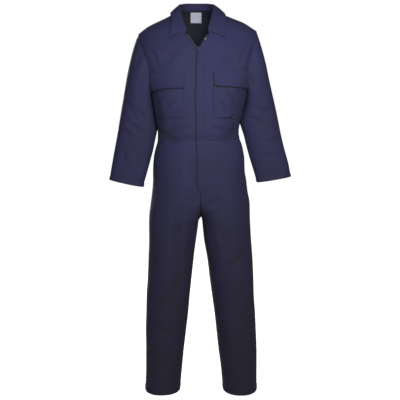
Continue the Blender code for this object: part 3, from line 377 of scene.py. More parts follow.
# Finer creases: a trough with a ridge along one side. x and z of both ends, width, depth, and the bend that
# bows it. A negative depth raises it.
FRONT_CREASES = metres(
    # wearer's left front, under the flap and down to the waist
    (100, -322, 178, -418, 11, 7.2, 7),
    (74, -358, 120, -434, 9, 4.3, 5),
    (146, -320, 186, -380, 9, 5.4, 4),
    (86, -440, 160, -424, 8, 4.5, -3),
    (140, -450, 158, -524, 10, 5.9, 2),
    (40, -466, 124, -500, 12, 3.8, 4),
    # wearer's right front
    (-168, -418, -84, -352, 12, 5, 7),
    (-132, -440, -78, -388, 9.5, 3.7, 4),
    (-176, -520, -104, -456, 12, 4.8, -7),
    (-172, -348, -162, -470, 13, 4.8, 4),
    (-46, -474, -122, -506, 11, 3.5, 4),
    # chest and shoulders
    (-75, -150, -170, -225, 20, 4, 10),
    (60, -140, 175, -215, 20, 4, -10),
    (-205, -150, -165, -235, 11, 3, 6),
    (202, -140, 165, -228, 11, 3, -6),
    # wearer's right sleeve
    (-228, -150, -288, -262, 14, 3.6, 8),
    (-212, -228, -262, -338, 12, 3.2, 7),
    (-322, -352, -262, -428, 13, 3.3, 6),
    (-252, -396, -202, -458, 10, 3.2, -4),
    (-346, -470, -276, -526, 13, 3.3, 6),
    (-296, -448, -226, -498, 11, 2.7, -5),
    (-322, -562, -306, -640, 12, 2.9, 4),
    (-262, -560, -242, -668, 11, 2.6, 4),
    (-262, -300, -256, -420, 17, -2.9, 4),
    # wearer's left sleeve
    (202, -145, 262, -255, 14, 3.6, -8),
    (196, -226, 240, -330, 12, 3.2, -7),
    (222, -386, 300, -408, 12, 3.6, -6),
    (196, -430, 262, -458, 10, 2.9, 4),
    (268, -540, 346, -520, 12, 3.5, 5),
    (306, -452, 336, -510, 11, 2.6, 4),
    (250, -586, 330, -600, 10, 2.2, 4),
    (300, -300, 282, -400, 15, -2.6, -4),
    # hips and crotch
    (60, -556, 72, -760, 18, -3.4, 4),
    (-68, -560, -62, -742, 18, -3, 4),
    (14, -796, 92, -756, 11, 3, 6),
    (-8, -792, -92, -762, 11, 2.8, -6),
    (14, -832, 80, -820, 9, 2.4, 4),
    (-6, -838, -78, -838, 9, 2.2, -4),
    (176, -640, 196, -740, 13, 3.4, 4),
    (-178, -700, -206, -820, 13, 3.4, 4),
    # wearer's right leg
    (-122, -800, -140, -1200, 24, -5.4, 6),
    (-84, -830, -92, -1226, 20, 2.6, 6),
    (-30, -880, -56, -1060, 11, 3.4, 3),
    (-190, -900, -200, -1100, 15, 3.4, 4),
    (-196, -1344, -84, -1352, 17, 4, 8),
    (-90, -1400, -140, -1470, 14, 3, 6),
    (-214, -1552, -130, -1582, 15, 3.6, 6),
    (-150, -1260, -156, -1420, 20, -3.6, 4),
    # wearer's left leg
    (208, -978, 86, -1088, 19, 6, 9),
    (166, -1064, 60, -1128, 15, 4.4, 7),
    (132, -800, 146, -980, 22, -4.6, 5),
    (45, -880, 66, -1010, 12, 3.6, 3),
    (196, -1140, 204, -1360, 14, 3.4, 4),
    (96, -1352, 206, -1332, 16, 3.6, 7),
    (130, -1250, 140, -1440, 20, -3.6, 4),
    (136, -1548, 224, -1572, 15, 3.6, 6),
)
BACK_CREASES = metres(
    (-150, -160, -120, -300, 16, 6.4, 8),
    (152, -150, 118, -300, 16, 6.4, -8),
    (-180, -330, -110, -400, 12, 7, 6),
    (186, -330, 108, -410, 12, 7, -6),
    (-168, -400, -60, -448, 12, 5.6, 6),
    (166, -410, 50, -452, 12, 5.6, -6),
    (-20, -470, -110, -500, 11, 4.2, 5),
    (15, -466, 110, -492, 11, 4.2, 5),
    (-20, -780, -110, -742, 13, 6.4, 7),
    (20, -784, 112, -748, 13, 6.4, -7),
    (-24, -850, -140, -860, 13, 6.4, 8),
    (26, -854, 138, -872, 13, 6.4, -8),
    (-50, -930, -160, -1010, 15, 5.6, 8),
    (56, -940, 170, -1020, 15, 5.6, -8),
    (-130, -960, -140, -1180, 22, -6.2, 6),
    (132, -960, 142, -1180, 22, -6.2, 6),
    (-200, -1120, -90, -1180, 14, 7, 7),
    (204, -1110, 98, -1176, 14, 7, -7),
    (-100, -1200, -210, -1240, 13, 6.4, 7),
    (112, -1206, 214, -1250, 13, 6.4, -7),
    (-110, -1320, -200, -1380, 15, 5, 6),
    (122, -1316, 212, -1390, 15, 5, -6),
    (-150, -1400, -160, -1580, 18, -5, 4),
    (160, -1400, 172, -1580, 18, -5, 4),
    (-330, -360, -240, -430, 13, 7.2, 6),
    (322, -350, 226, -420, 13, 7.2, -6),
    (-338, -430, -222, -480, 12, 6, 6),
    (330, -424, 210, -470, 12, 6, -6),
    (-300, -200, -240, -290, 15, 5.5, 6),
    (280, -190, 226, -280, 15, 5.5, -6),
    (-346, -540, -256, -576, 13, 4.8, 5),
    (342, -530, 248, -566, 13, 4.8, -5),
)

STUD_OFFSET, STUD_Z = 0.0305, -0.1230  # from centre front, on the wearer's left
STUD_GAP = 0.0006  # between the cap and the placket
STUD_PROFILE = metres(  # radius and height
    (0, 0), (4, 0), (4.3, 0.6), (4, 1.3), (3.4, 1.7), (2.8, 1.4), (2.3, 0.8), (0, 0.7)
)

# Studio: place, aim, size, watts, spread in degrees and colour of each light
LIGHTS = {
    "fill": ((0.62, -3.36, -0.58), (0.0, 0.0, -0.84), (2.6, 2.4), 28.4, 120, "#fff6b4"),
    "behind": ((-1.30, 3.10, 0.25), (0.0, 0.0, -0.80), (2.0, 2.0), 62.0, 120, "#fffdf2"),
    "key": ((0.17, -1.30, 0.13), (0.01, -0.1, -0.35), (0.6, 0.6), 2.9, 68, "#def2ff"),
}
AMBIENT = 0.11  # strength of the white surround
FLOOR_Z = HEM_Z - 0.075
CAMERA_PLACE, CAMERA_TILT, CAMERA_LENS = (0.0, -2.900, -0.351), 8.54, 61.74

THREAD_ROWS = []  # joined into one mesh for each part of the suit
INSIDE = []  # the finish of the cloth's wrong side, darkened as painted shade inside the hollow suit
LAID_OUT = {}  # the points, normals and metres of each piece's grid


# Curves


def smooth(keys, values, at):
    """Cubic through a table's rows that never overshoots them."""
    keys, values = np.asarray(keys, float), np.asarray(values, float)
    if keys[0] > keys[-1]:
        keys, values = keys[::-1], values[::-1]
    at = np.clip(np.asarray(at, float), keys[0], keys[-1])
    step = np.diff(keys)
    slope = np.diff(values) / step
    product = slope[:-1] * slope[1:]
    total = slope[:-1] + slope[1:]
    inner = np.where(product > 0, 2 * product / np.where(total == 0, 1, total), 0)
    tangent = np.concatenate([slope[:1], inner, slope[-1:]])
    row = np.clip(np.searchsorted(keys, at, side="right") - 1, 0, len(step) - 1)
    share = (at - keys[row]) / step[row]
    rest = 1 - share
    ends = values[row] * (1 + 2 * share) * rest**2 + values[row + 1] * (3 - 2 * share) * share**2
    bend = step[row] * (tangent[row] * share * rest**2 - tangent[row + 1] * rest * share**2)
    return ends + bend


def read(columns, name, at):
    """A named column's smooth value at places on the table's first column."""
    return smooth(next(iter(columns.values())), columns[name], at)


def by_row(columns, name, row):
    """A named column's smooth value at a row number, which need not be whole."""
    return smooth(range(len(columns[name])), columns[name], row)


def power(value, squareness):
    """A sine or cosine, made that of a section of this squareness."""
    return np.sign(value) * np.abs(value) ** (2 / squareness)


def blended(low, high, share):
    return low * (1 - share) + high * share


def eased(value):
    value = np.clip(value, 0, 1)
    return value * value * (3 - 2 * value)


def bump(distance, width):
    """1 at no distance, fading to 0 over about twice the width."""
    return np.exp(-((distance / width) ** 2))


def waves(along, pitch, turned=0.0):
    return np.sin(2 * math.pi * along / pitch + turned)


def unit(vectors):
    return vectors / np.linalg.norm(vectors, axis=-1, keepdims=True)


def arcs(points, axis):
    """Metres run through to each point of a line or grid, along one of its axes."""
    steps = np.linalg.norm(np.diff(points, axis=axis), axis=-1)
    start = np.zeros_like(steps.take([0], axis=axis))
    return np.concatenate([start, np.cumsum(steps, axis=axis)], axis=axis)


def through(rows, at):
    """A curve through a list of points, at row numbers that need not be whole."""
    row = np.clip(np.floor(at).astype(int), 0, len(rows) - 2)
    share = (at - row)[..., None]
    places = np.indices(at.shape)
    near = [rows[(np.clip(row + step, 0, len(rows) - 1), *places)] for step in (-1, 0, 1, 2)]
    return (
        near[1]
        + (near[2] - near[0]) * share / 2
        + (2 * near[0] - 5 * near[1] + 4 * near[2] - near[3]) * share**2 / 2
        + (3 * near[1] - near[0] - 3 * near[2] + near[3]) * share**3 / 2
    )


# Body surfaces


def centre(z):
    return read(TRUNK, "centre", z)


def trunk(side, angle, z):
    """The upper body: angle 0 at centre front, pi / 2 at the side seam and shoulder, pi at centre back."""
    half = read(TRUNK, SIDES[side], z)
    depth = np.where(np.cos(angle) > 0, read(TRUNK, "front", z), read(TRUNK, "back", z))
    x = centre(z) + side * half * power(np.sin(angle), SQUARENESS)
    return np.stack([x, -depth * power(np.cos(angle), SQUARENESS), z + 0 * x], axis=-1)


def hip_section(side, level):
    """Inner and outer ends of a hip or leg section, the share of its width inside its deepest line, how far
    its inner end has closed round the crotch, and its squareness."""
    above = level > CROTCH_Z
    hip = centre(level) + side * read(TRUNK, SIDES[side], level)
    inner = np.where(above, centre(level), read(LEG, SIDES[side] + "_in", level))
    outer = np.where(above, hip, read(LEG, SIDES[side] + "_out", level))
    down = np.clip((HIP_Z - level) / (HIP_Z - THIGH_Z), 0, 1)
    under = np.clip((SEAT_Z - level) / (SEAT_Z - CROTCH_Z), 0, 1)
    closed = np.maximum(under**2 * (2.5 - 1.5 * under), 1e-4)
    return inner, outer, 0.5 * eased(down), closed, blended(SQUARENESS, LEG_SQUARENESS, down)


def trouser(side, turn, level):
    """Hips and leg: turn 0 at centre front or inseam, 1 at the outseam, 2 at centre back or inseam."""
    behind = turn > 1
    share = np.where(behind, 2 - turn, turn)
    inner, outer, flat, closed, squareness = hip_section(side, level)
    front, back = (
        np.where(level > CROTCH_Z, read(TRUNK, face, level), read(LEG, face, level))
        for face in ("front", "back")
    )
    start = np.arccos(closed ** (squareness / 2))
    angle = blended(start, math.pi / 2, np.clip(share / np.maximum(flat, 1e-6), 0, 1))
    inside = power(np.cos(angle) / np.cos(start), squareness)
    beyond = np.clip((share - flat) / (1 - flat), 0, 1) * math.pi / 2
    within = share < flat
    across = np.where(within, flat * (1 - inside), flat + (1 - flat) * power(np.sin(beyond), squareness))
    x = inner + (outer - inner) * across
    y = np.where(behind, back, -front) * power(np.where(within, np.sin(angle), np.cos(beyond)), squareness)
    return np.stack([x, y, level + 0 * x], axis=-1)


def turn_at(side, offset, level):
    """The turn at which the hips' front passes an offset from centre front, above the seat."""
    inner, outer, flat, _, squareness = hip_section(side, level)
    wide = np.abs(outer - inner)
    inside = 1 - np.clip(1 - offset / np.maximum(flat * wide, 1e-6), 0, 1) ** (squareness / 2)
    beyond = np.arcsin(np.clip((offset / wide - flat) / (1 - flat), 0, 1) ** (squareness / 2))
    return np.where(offset < flat * wide, flat * inside, flat + (1 - flat) * beyond / (math.pi / 2))


def angle_off(side, offset, z):
    """The angle from centre front at which the trunk passes an offset from its centre, on the front."""
    return np.arcsin(np.clip(offset / read(TRUNK, SIDES[side], z), 0, 1) ** (SQUARENESS / 2))


def outward(surface, side, around, level, reach=2e-3):
    """Unit normals of a body surface, from its own slopes."""
    along = surface(side, around + reach, level) - surface(side, around - reach, level)
    up = surface(side, around, level + reach / 4) - surface(side, around, level - reach / 4)
    return unit(side * np.cross(along, up))


def waist_shift(points):
    """The waist seam's tilt, which fades out above and below it."""
    points = points.copy()
    points[..., 2] += WAIST_TILT * points[..., 0] * bump(points[..., 2] - WAIST_Z, 0.06)
    return points


# Creases


def fold_depth(points, folds):
    """How far the large folds press in, seen along Y."""
    depth = np.zeros(points.shape[:-1])
    for x1, z1, x2, z2, width, deep in folds:
        run = np.array([x2 - x1, z2 - z1])
        away = points[..., [0, 2]] - (x1, z1)
        share = np.clip(away @ run / (run @ run), 0, 1)
        depth += deep * bump(np.linalg.norm(away - share[..., None] * run, axis=-1), width)
    return depth


def crease_depth(points, creases):
    """How far the finer creases press in: each tapers to its ends and has a ridge along one side."""
    depth = np.zeros(points.shape[:-1])
    for x1, z1, x2, z2, width, deep, bend in creases:
        length = math.hypot(x2 - x1, z2 - z1)
        along = np.array([x2 - x1, z2 - z1]) / length
        away = points[..., [0, 2]] - (x1, z1)
        share = np.clip(away @ along / length, 0, 1)
        across = away @ (-along[1], along[0]) - 4 * bend * share * (1 - share)
        wide = width * (0.7 + 0.6 * share)
        taper = np.sin(math.pi * share) ** 0.8
        depth += deep * taper * (bump(across + 0.4 * wide, wide) - 0.5 * bump(across - 1.2 * wide, wide))
    return depth


def drape_waves(points):
    """Slow unevenness that any hung cloth has."""
    x, y, z = points[..., 0], points[..., 1], points[..., 2]
    upright = 0.0009 * np.sin(31 * x + 9 * z + 2.0 * np.sin(7 * z))
    return upright + 0.0007 * np.sin(46 * x - 17 * z + 23 * y + 1.3)


def side_fullness(points, normals):
    """The back blouses out above the waist, just behind each side seam, where the sleeve lies against it."""
    middle = np.where(points[..., 0] < 0, FULLNESS_Z[RIGHT], FULLNESS_Z[LEFT])
    level = bump(points[..., 2] - middle, 0.058)
    behind = bump(points[..., 1] - FULLNESS_Y, 0.030) * (np.abs(points[..., 0]) < 0.20)
    return FULLNESS * level * behind * (normals[..., 1] > 0)


def creased(points, normals, amount=1.0):
    """Points pressed in along the folds and creases on their side of the suit."""
    depth = drape_waves(points) - side_fullness(points, normals)
    for folds, creases, facing in (
        (FRONT_FOLDS, FRONT_CREASES, normals[..., 1] < 0),
        (BACK_FOLDS, BACK_CREASES, normals[..., 1] > 0),
    ):
        pressed = fold_depth(points, folds) + crease_depth(points, creases)
        depth += facing * pressed * np.abs(normals[..., 1])
    return points - normals * (amount * depth)[..., None]


# Where the pieces lie: each place(across, down) gives points and outward normals for shares from 0 to 1


def scaled_tip(side, outer_z):
    """Armhole levels drawn for the lower shoulder tip, stretched up to this side's tip."""
    stretch = (SHOULDER_TIP_Z[side] - UNDERARM_Z) / (SHOULDER_TIP_Z[RIGHT] - UNDERARM_Z)
    return np.where(outer_z > UNDERARM_Z, UNDERARM_Z + (outer_z - UNDERARM_Z) * stretch, outer_z)


def on_bodice(side, behind, across, row):
    """Angle and level on the upper body: across from the zip or centre back, up by rows of its table."""
    rows = BACK if behind else FRONT
    inner_z = by_row(rows, "inner_z", row)
    outer_z = scaled_tip(side, by_row(rows, "outer_z", row))
    outer = np.radians(by_row(rows, "outer_angle", row))
    if behind:
        inner, outer = math.pi - np.radians(by_row(BACK, "inner_angle", row)), math.pi - outer
    else:
        inner = angle_off(side, by_row(FRONT, "inner_x", row), inner_z)
    return blended(inner, outer, across), blended(inner_z, outer_z, across)


def on_trunk(side, angle, level, out=0.0):
    """Points and normals on the upper body, moved out by a distance."""
    normals = outward(trunk, side, angle, level)
    points = trunk(side, angle, level) + normals * np.asarray(out)[..., None]
    return waist_shift(points), normals


def bodice_place(side, behind, across, down):
    """A front, or half of the back, from the shoulder down to the waist."""
    last = BACK_LAST if behind else FRONT_LAST
    return on_trunk(side, *on_bodice(side, behind, across, (1 - down) * last))


def leg_place(side, behind, across, down):
    """A leg panel: across from centre front or inseam to the outseam."""
    level = smooth(range(len(LEG_LEVELS)), LEG_LEVELS, down * (len(LEG_LEVELS) - 1))
    first = 0 * level
    if not behind:
        first = turn_at(side, np.clip((level - SEAT_Z) / 0.03, 0, 1) * FLY_SLOT, level)
    share = blended(first, 1.0, across)
    turn = 2 - share if behind else share
    normals = outward(trouser, side, turn, level)
    hem = HEM_SWELL * eased((HEM_Z + HEM_HEIGHT - level) / 0.002)
    return waist_shift(trouser(side, turn, level)) + normals * hem[..., None], normals


def armhole(side, around, inside=0.0):
    """A point of the armhole: round from the shoulder tip, down its front and up its back. It can lie a
    distance inside the edge and then passes under the body."""
    under = ARMHOLE_DEPTH + LAP_DEPTH * eased(inside / LAP)
    across = 1.0 - inside / 0.25 + 0 * around
    down, up = np.clip(around / math.pi, 0, 1), np.clip(around / math.pi - 1, 0, 1)
    front_row, back_row = blended(FRONT_LAST, UNDERARM_ROW, down), blended(UNDERARM_ROW, BACK_LAST, up)
    front, back = (
        creased(*on_trunk(side, *on_bodice(side, behind, across, row), -under))
        for behind, row in ((False, front_row), (True, back_row))
    )
    return np.where((around <= math.pi)[..., None], front, back)


def sleeve_section(side, around, row):
    """A ring of the sleeve, and the share of the armhole's own line in it."""
    size = {name: by_row(SLEEVE[side], name, row) for name in SLEEVE[side]}
    body_x = side * trunk(side, math.pi / 2 + 0 * size["in_z"], size["in_z"])[..., 0]
    inner_x = side * np.maximum(side * size["in_x"], body_x + SLEEVE_CLEAR)
    top = np.stack([size["out_x"], size["middle_y"], size["out_z"]], axis=-1)
    foot = np.stack([inner_x, size["middle_y"], size["in_z"]], axis=-1)
    depth = np.where(around <= math.pi, size["front"], size["back"])
    ring = (top + foot) / 2 + power(np.cos(around), SLEEVE_SQUARENESS)[..., None] * (top - foot) / 2
    ring[..., 1] -= depth * power(np.sin(around), SLEEVE_SQUARENESS)
    return ring, size["loop_share"]


def sleeve_surface(side, around, row):
    """Below row 0 the sleeve hangs from the armhole; before it, it runs on under the armhole's edge."""
    around = np.mod(around, 2 * math.pi)
    ring, share = sleeve_section(side, around, np.maximum(row, 0))
    flat, _ = sleeve_section(side, around, 0 * row)
    return ring + (armhole(side, around, LAP * np.clip(-row, 0, 1)) - flat) * share[..., None]


def sleeve_place(side, across, down):
    """A sleeve: across once round it from its underarm seam, down to the cuff."""
    around = math.pi * (1 + 2 * np.clip(across, 0.0005, 0.9995))
    below = (down - SLEEVE_START) / (1 - SLEEVE_START) * SLEEVE_LAST
    row = np.where(down < SLEEVE_START, down / SLEEVE_START - 1, below)
    points = sleeve_surface(side, around, row)
    reach, level = 0.01, np.maximum(row, 0)
    along = sleeve_surface(side, around + reach, level) - sleeve_surface(side, around - reach, level)
    low, high = np.clip(level + reach, 0, SLEEVE_LAST), np.clip(level - reach, 0, SLEEVE_LAST)
    drop = sleeve_surface(side, around, low) - sleeve_surface(side, around, high)
    normals = unit(side * np.cross(along, drop))
    hem = HEM_SWELL * eased((row - SLEEVE_LAST + 0.9) / 0.1)
    points[:, 0] = points[:, -1] = (points[:, 0] + points[:, -1]) / 2
    normals[:, 0] = normals[:, -1] = unit(normals[:, 0] + normals[:, -1])
    return points + normals * hem[..., None], normals


def neckline(side, share):
    """A point of the neck seam, from 0 at the collar's front end to 1 at centre back."""
    front_z, back_z = FRONT["inner_z"][COLLAR_ROW:], BACK["inner_z"][-2 : NAPE_ROW - 1 : -1]
    front_angle = angle_off(side, FRONT["inner_x"][COLLAR_ROW:], front_z)
    back_angle = math.pi - np.radians(BACK["inner_angle"][-2 : NAPE_ROW - 1 : -1])
    points = trunk(side, np.concatenate([front_angle, back_angle]), np.concatenate([front_z, back_z]))
    length = arcs(points, 0)
    return np.stack([smooth(length, points[:, axis], share * length[-1]) for axis in range(3)], axis=-1)


def collar_rows(side, share):
    """From the neck seam up the stand, over the roll and down the fall, for shares along the collar."""
    names = ("rise", "inward", "over_" + SIDES[side], "edge_lift")
    rise, lean, over, lift = (read(COLLAR, name, share)[..., None] for name in names)
    angle, edge_z = np.radians(read(COLLAR, "edge_angle", share)), read(COLLAR, "edge_z", share)
    edge = trunk(side, angle, edge_z) + outward(trunk, side, angle, edge_z) * (lift + COLLAR_SPRING)
    seam = neckline(side, share)
    inside = unit((centre(0.0), 0.0) - seam[..., :2])
    inside = np.concatenate([inside, np.zeros((*share.shape, 1))], axis=-1)
    seam = seam + (UP + inside) * COLLAR_SEAM
    roll = seam + UP * rise + inside * lean - np.array([side, 0.0, 0.0]) * over
    out = unit((edge - roll) * (1, 1, 0))
    rows = [seam, blended(seam, roll - UP * ROLL_RADIUS, 0.55)]
    rows += [roll + (out * outside + UP * higher) * ROLL_RADIUS for outside, higher in ROLL_SECTION]
    top = rows[-1]
    for part in FALL_SHARES:
        rows.append(blended(top, edge, part) + (out + UP) * math.sin(part * math.pi) * FALL_SWELL)
    return np.array(rows)


def collar_place(across, down):
    """The collar: across from the wearer's right end to the left, down from the seam."""
    share = 1 - np.abs(2 * across - 1)
    rows = np.where((across < 0.5)[..., None], collar_rows(RIGHT, share), collar_rows(LEFT, share))
    points = through(rows, down * (len(rows) - 1))
    normals = unit(np.cross(np.gradient(points, axis=1), np.gradient(points, axis=0)))
    if normals[-1, points.shape[1] // 2, 1] < 0:
        normals = -normals
    return points, normals


def quad_place(side, corners, out, bow, across, down):
    """A piece between four corners that is laid on a front. The bow bends its foot."""
    x, z = corners.T
    angle, level = (
        blended(blended(at[0], at[1], across), blended(at[2], at[3], across**bend), down)
        for at, bend in ((angle_off(side, side * (x - centre(z)), z), 1.0), (z, bow))
    )
    return on_trunk(side, angle, level, out(across, down))


def strip_place(side, open_share, top, shape, out, across, down):
    """A strip along a front's edge: a share of it up the open neck, as far as top, and the rest down the
    closed zip. shape gives its shift from the open edge in x and z, and its offset beside the closed zip."""
    up = top * np.clip((open_share - down) / open_share, 0, 1)
    closed_z = blended(FLY_TOP_Z, FLY_FOOT_Z, np.clip((down - open_share) / (1 - open_share), 0, 1))
    shift_x, shift_z, closed_x = shape(across, up, closed_z)
    open_x = blended(FLY_SLOT, FRONT["inner_x"][COLLAR_ROW], up) + shift_x
    open_z = blended(FLY_TOP_Z, FRONT["inner_z"][COLLAR_ROW], up) + shift_z
    offset = side * np.where(down < open_share, open_x, closed_x)
    level = np.where(down < open_share, open_z, closed_z)
    inner, outer, flat, _, _ = hip_section(side, level)
    away = np.clip((np.abs(offset / (outer - inner)) - flat) / (1 - flat), 0, 1)
    angle = side * np.sign(offset) * np.arcsin(away ** (SQUARENESS / 2))
    points, normals = trunk(side, angle, level), outward(trunk, side, angle, level)
    points[..., 0] = centre(level) + offset
    return waist_shift(points + normals * out), normals


def label_place(across, down):
    """The label: on the inside of the back, just under the neck seam."""
    z = -down * LABEL_HEIGHT
    offset = (across - 0.5) * LABEL_WIDTH + LABEL_X - centre(z)
    angle = math.pi - np.sign(offset) * angle_off(LEFT, np.abs(offset), z)
    normals = outward(trunk, LEFT, angle, z)
    return trunk(LEFT, angle, z) - normals * (CLOTH + LABEL_GAP + TAPE), -normals


# Sewing in relief: each relief takes the metres to a piece's inner, outer, top and foot edges, and gives a
# height and a painted shade


def seam_groove(distance, along, seed):
    """Where two pieces are joined: a narrow groove with painted shade in it, and the pucker of its thread."""
    pucker = PUCKER * waves(along, PUCKER_PITCH, 1.6 * np.sin(along * 71 + seed) + seed)
    raised = pucker * bump(distance - FELL_WIDTH / 2, FELL_WIDTH)
    return raised - GROOVE_DEPTH * bump(distance, GROOVE_WIDTH), GROOVE_SHADE * bump(distance, SHADE_WIDTH)


def felled_band(distance):
    """Height of a felled seam's doubled band."""
    return FELL_HEIGHT * (1 - eased((distance - FELL_WIDTH + 0.001) / 0.002))


def hemmed(height, shade, foot):
    """A relief with the line of the hem's stitches pressed in, and painted shade along it."""
    dark = np.maximum(shade, HEM_SHADE * bump(foot - HEM_HEIGHT, SHADE_WIDTH))
    return height - HEM_LINE * bump(foot - HEM_HEIGHT, HEM_LINE_WIDTH), dark


def under_placket(side, inner):
    """Painted shadow on the cloth along the placket's edge."""
    return 0.70 * bump(inner - PLACKET_SHADE, 0.0046) * (side == RIGHT)


def leg_relief(side, behind, inner, outer, top, foot):
    """Waist seam, outseam, inseam and hem. The back panel has the felled bands."""
    seed = 9.0 + side + 3 * behind
    height, shade = seam_groove(outer, top, seed)
    for distance, along, turn, share in ((inner, top, 2, 1.0), (top, inner, 4, 0.3)):
        groove, dark = seam_groove(distance, along, seed + turn)
        height, shade = height + groove * share, np.maximum(shade, dark * share)
    if behind:
        height = height + felled_band(outer) + felled_band(inner)
    else:
        shade = np.maximum(shade, eased((FLY_LENGTH - top) / 0.01) * under_placket(side, inner))
    ripple = RIPPLE * waves(inner, RIPPLE_PITCH, seed) * bump(foot - 0.012, 0.014)
    return hemmed(height + ripple, shade, foot)


def bodice_relief(side, behind, inner, outer, top, foot):
    """A front or half the back: side seam, armhole, shoulder and waist."""
    seed = side + (5.0 if behind else 1.0)
    armhole_share = 1 - UNDERARM_ROW / (BACK_LAST if behind else FRONT_LAST)
    down = np.linspace(0, 1, len(inner))[:, None] + 0 * inner
    in_armhole = eased((armhole_share - down) / 0.04)
    groove, shade = seam_groove(outer, top, seed)
    underarm = 0.0030 * bump(down - armhole_share * 0.8, 0.20)
    valley = -ARMHOLE_DEPTH * bump(outer, 0.006) - underarm * bump(outer - 0.010, 0.012)
    height = blended(groove, valley + felled_band(outer) * eased(outer / 0.002), in_armhole)
    low, dark = seam_groove(foot, inner, seed + 4)
    high, faint = seam_groove(top, inner, seed + 6)
    if not behind:
        shade = np.maximum(shade, eased((down - OPEN_SHARE) / 0.02) * under_placket(side, inner))
    height = height + low * 0.5 + felled_band(foot) + high * 0.7
    return height, np.maximum(np.maximum(shade, 0.2 * dark), 0.6 * faint)


def sleeve_relief(side, inner, outer, top, foot):
    """The seam under the arm, the gathers just below the armhole, painted shade along the armhole's line, and
    the hem.
    """
    height, shade = seam_groove(np.minimum(inner, outer), top, 17.0 + side)
    below = top - LAP
    gathers = GATHER * waves(inner, GATHER_PITCH, np.sin(inner * 30)) * bump(below - 0.014, 0.010)
    height = height * eased(below / 0.004) + gathers
    return hemmed(height, np.maximum(shade, 0.45 * bump(below, 0.0030)), foot)


def topstitched(row_at, edge_shade, width, inner, outer, top, foot):
    """A turned edge: a soft roll outside its row of stitches, with painted shade along that row and at the
    very edge.
    """
    edge = np.minimum(np.minimum(inner, outer), foot)
    height = ROLL * (bump(edge - row_at / 2, row_at / 2) - bump(edge - row_at, LINE_WIDTH))
    return height, 0.12 * bump(edge - row_at, 0.0014) + edge_shade * bump(edge, width)


def pocket_relief(side, inner, outer, top, foot):
    """A patch pocket's turned edge, and the painted shadow just below its flap."""
    height, shade = topstitched(PATCH_ROWS[0], EDGE_SHADE, EDGE_SHADE_WIDTH, inner, outer, top, foot)
    flap_foot = POCKET[side][0, 1] - FLAP[side][2:, 1]
    below = top - blended(*flap_foot, (inner / (inner + outer)) ** FLAP_BOW[side])
    return height, np.maximum(0.6 * shade, FLAP_SHADE[side] * (1 - eased((below - 0.002) / 0.009)))


def flap_relief(side, inner, outer, top, foot):
    """A flap's turned edge and, on the wearer's right, what shows through it of the pocket's side, with
    painted shade there and along the flap's inner edge.
    """
    height, shade = topstitched(EDGE_ROW, EDGE_SHADE, EDGE_SHADE_WIDTH, inner, outer, top, foot)
    # painted shade: a line where the pocket's side shows through, and the flap's inner edge
    printed, edge = bump(inner - FLAP_PRINT, 0.0034) * (side == RIGHT), bump(inner, 0.0034) * (side == RIGHT)
    return height - 0.0007 * printed, np.maximum(shade, 0.42 * printed + 0.60 * edge)


def placket_relief(inner, outer, top, foot):
    """The placket's rolled edge, the line of its stitches, the pucker of the zip below it, and painted shade
    along its edges.
    """
    rolled = ROLL * (bump(inner - EDGE_ROW / 2, EDGE_ROW / 2) - bump(inner - 0.0062, LINE_WIDTH))
    pucker = 0.0005 * waves(top, 0.021, np.sin(top * 40)) * bump(inner, 0.012)
    height = rolled + pucker + 0.0012 * bump(inner - 0.012, 0.008)
    return height, 0.90 * bump(inner, 0.0022) + 0.05 * bump(outer, 0.0016)


# Meshes


def srgb(code):
    """Linear colour of an sRGB hex value."""
    channels = [int(code[place : place + 2], 16) / 255 for place in (1, 3, 5)]
    linear = [c / 12.92 if c <= 0.04045 else ((c + 0.055) / 1.055) ** 2.4 for c in channels]
    return (*linear, 1.0)


def mesh_of(name, bm):
    """A mesh from a bmesh, which is let go."""
    mesh = bpy.data.meshes.new(name)
    bm.to_mesh(mesh)
    bm.free()
    return mesh


def placed(name, mesh, finish, angle=40):
    """An object of the suit from a mesh, smooth up to an angle."""
    mesh.materials.append(finish)
    mesh.shade_smooth()
    mesh.set_sharp_from_angle(angle=math.radians(angle))
    made = bpy.data.objects.new(name, mesh)
    bpy.context.scene.collection.objects.link(made)
    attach(made, "suit")
    return made


def repeated(name, bm, middles, axes, finish, slot, angle):
    """One mesh of a small shape's copies, each with its own middle and axes."""
    bm.verts.ensure_lookup_table()
    shape = np.array([vertex.co[:] for vertex in bm.verts])
    faces = np.array([[vertex.index for vertex in face.verts] for face in bm.faces])
    bm.free()
    points = middles[:, None, :] + np.einsum("va,nad->nvd", shape, axes)
    tiled = faces[None, :, :] + len(shape) * np.arange(len(middles))[:, None, None]
    mesh = bpy.data.meshes.new(name)
    mesh.from_pydata(points.reshape(-1, 3).tolist(), [], tiled.reshape(-1, 3).tolist())
    placed(name, mesh, finish, angle)


def quad_area(points):
    """Square metres of a grid of points."""
    one = points[1:, 1:] - points[:-1, :-1]
    other = points[1:, :-1] - points[:-1, 1:]
    return float(np.linalg.norm(np.cross(one, other), axis=-1).sum() / 2)


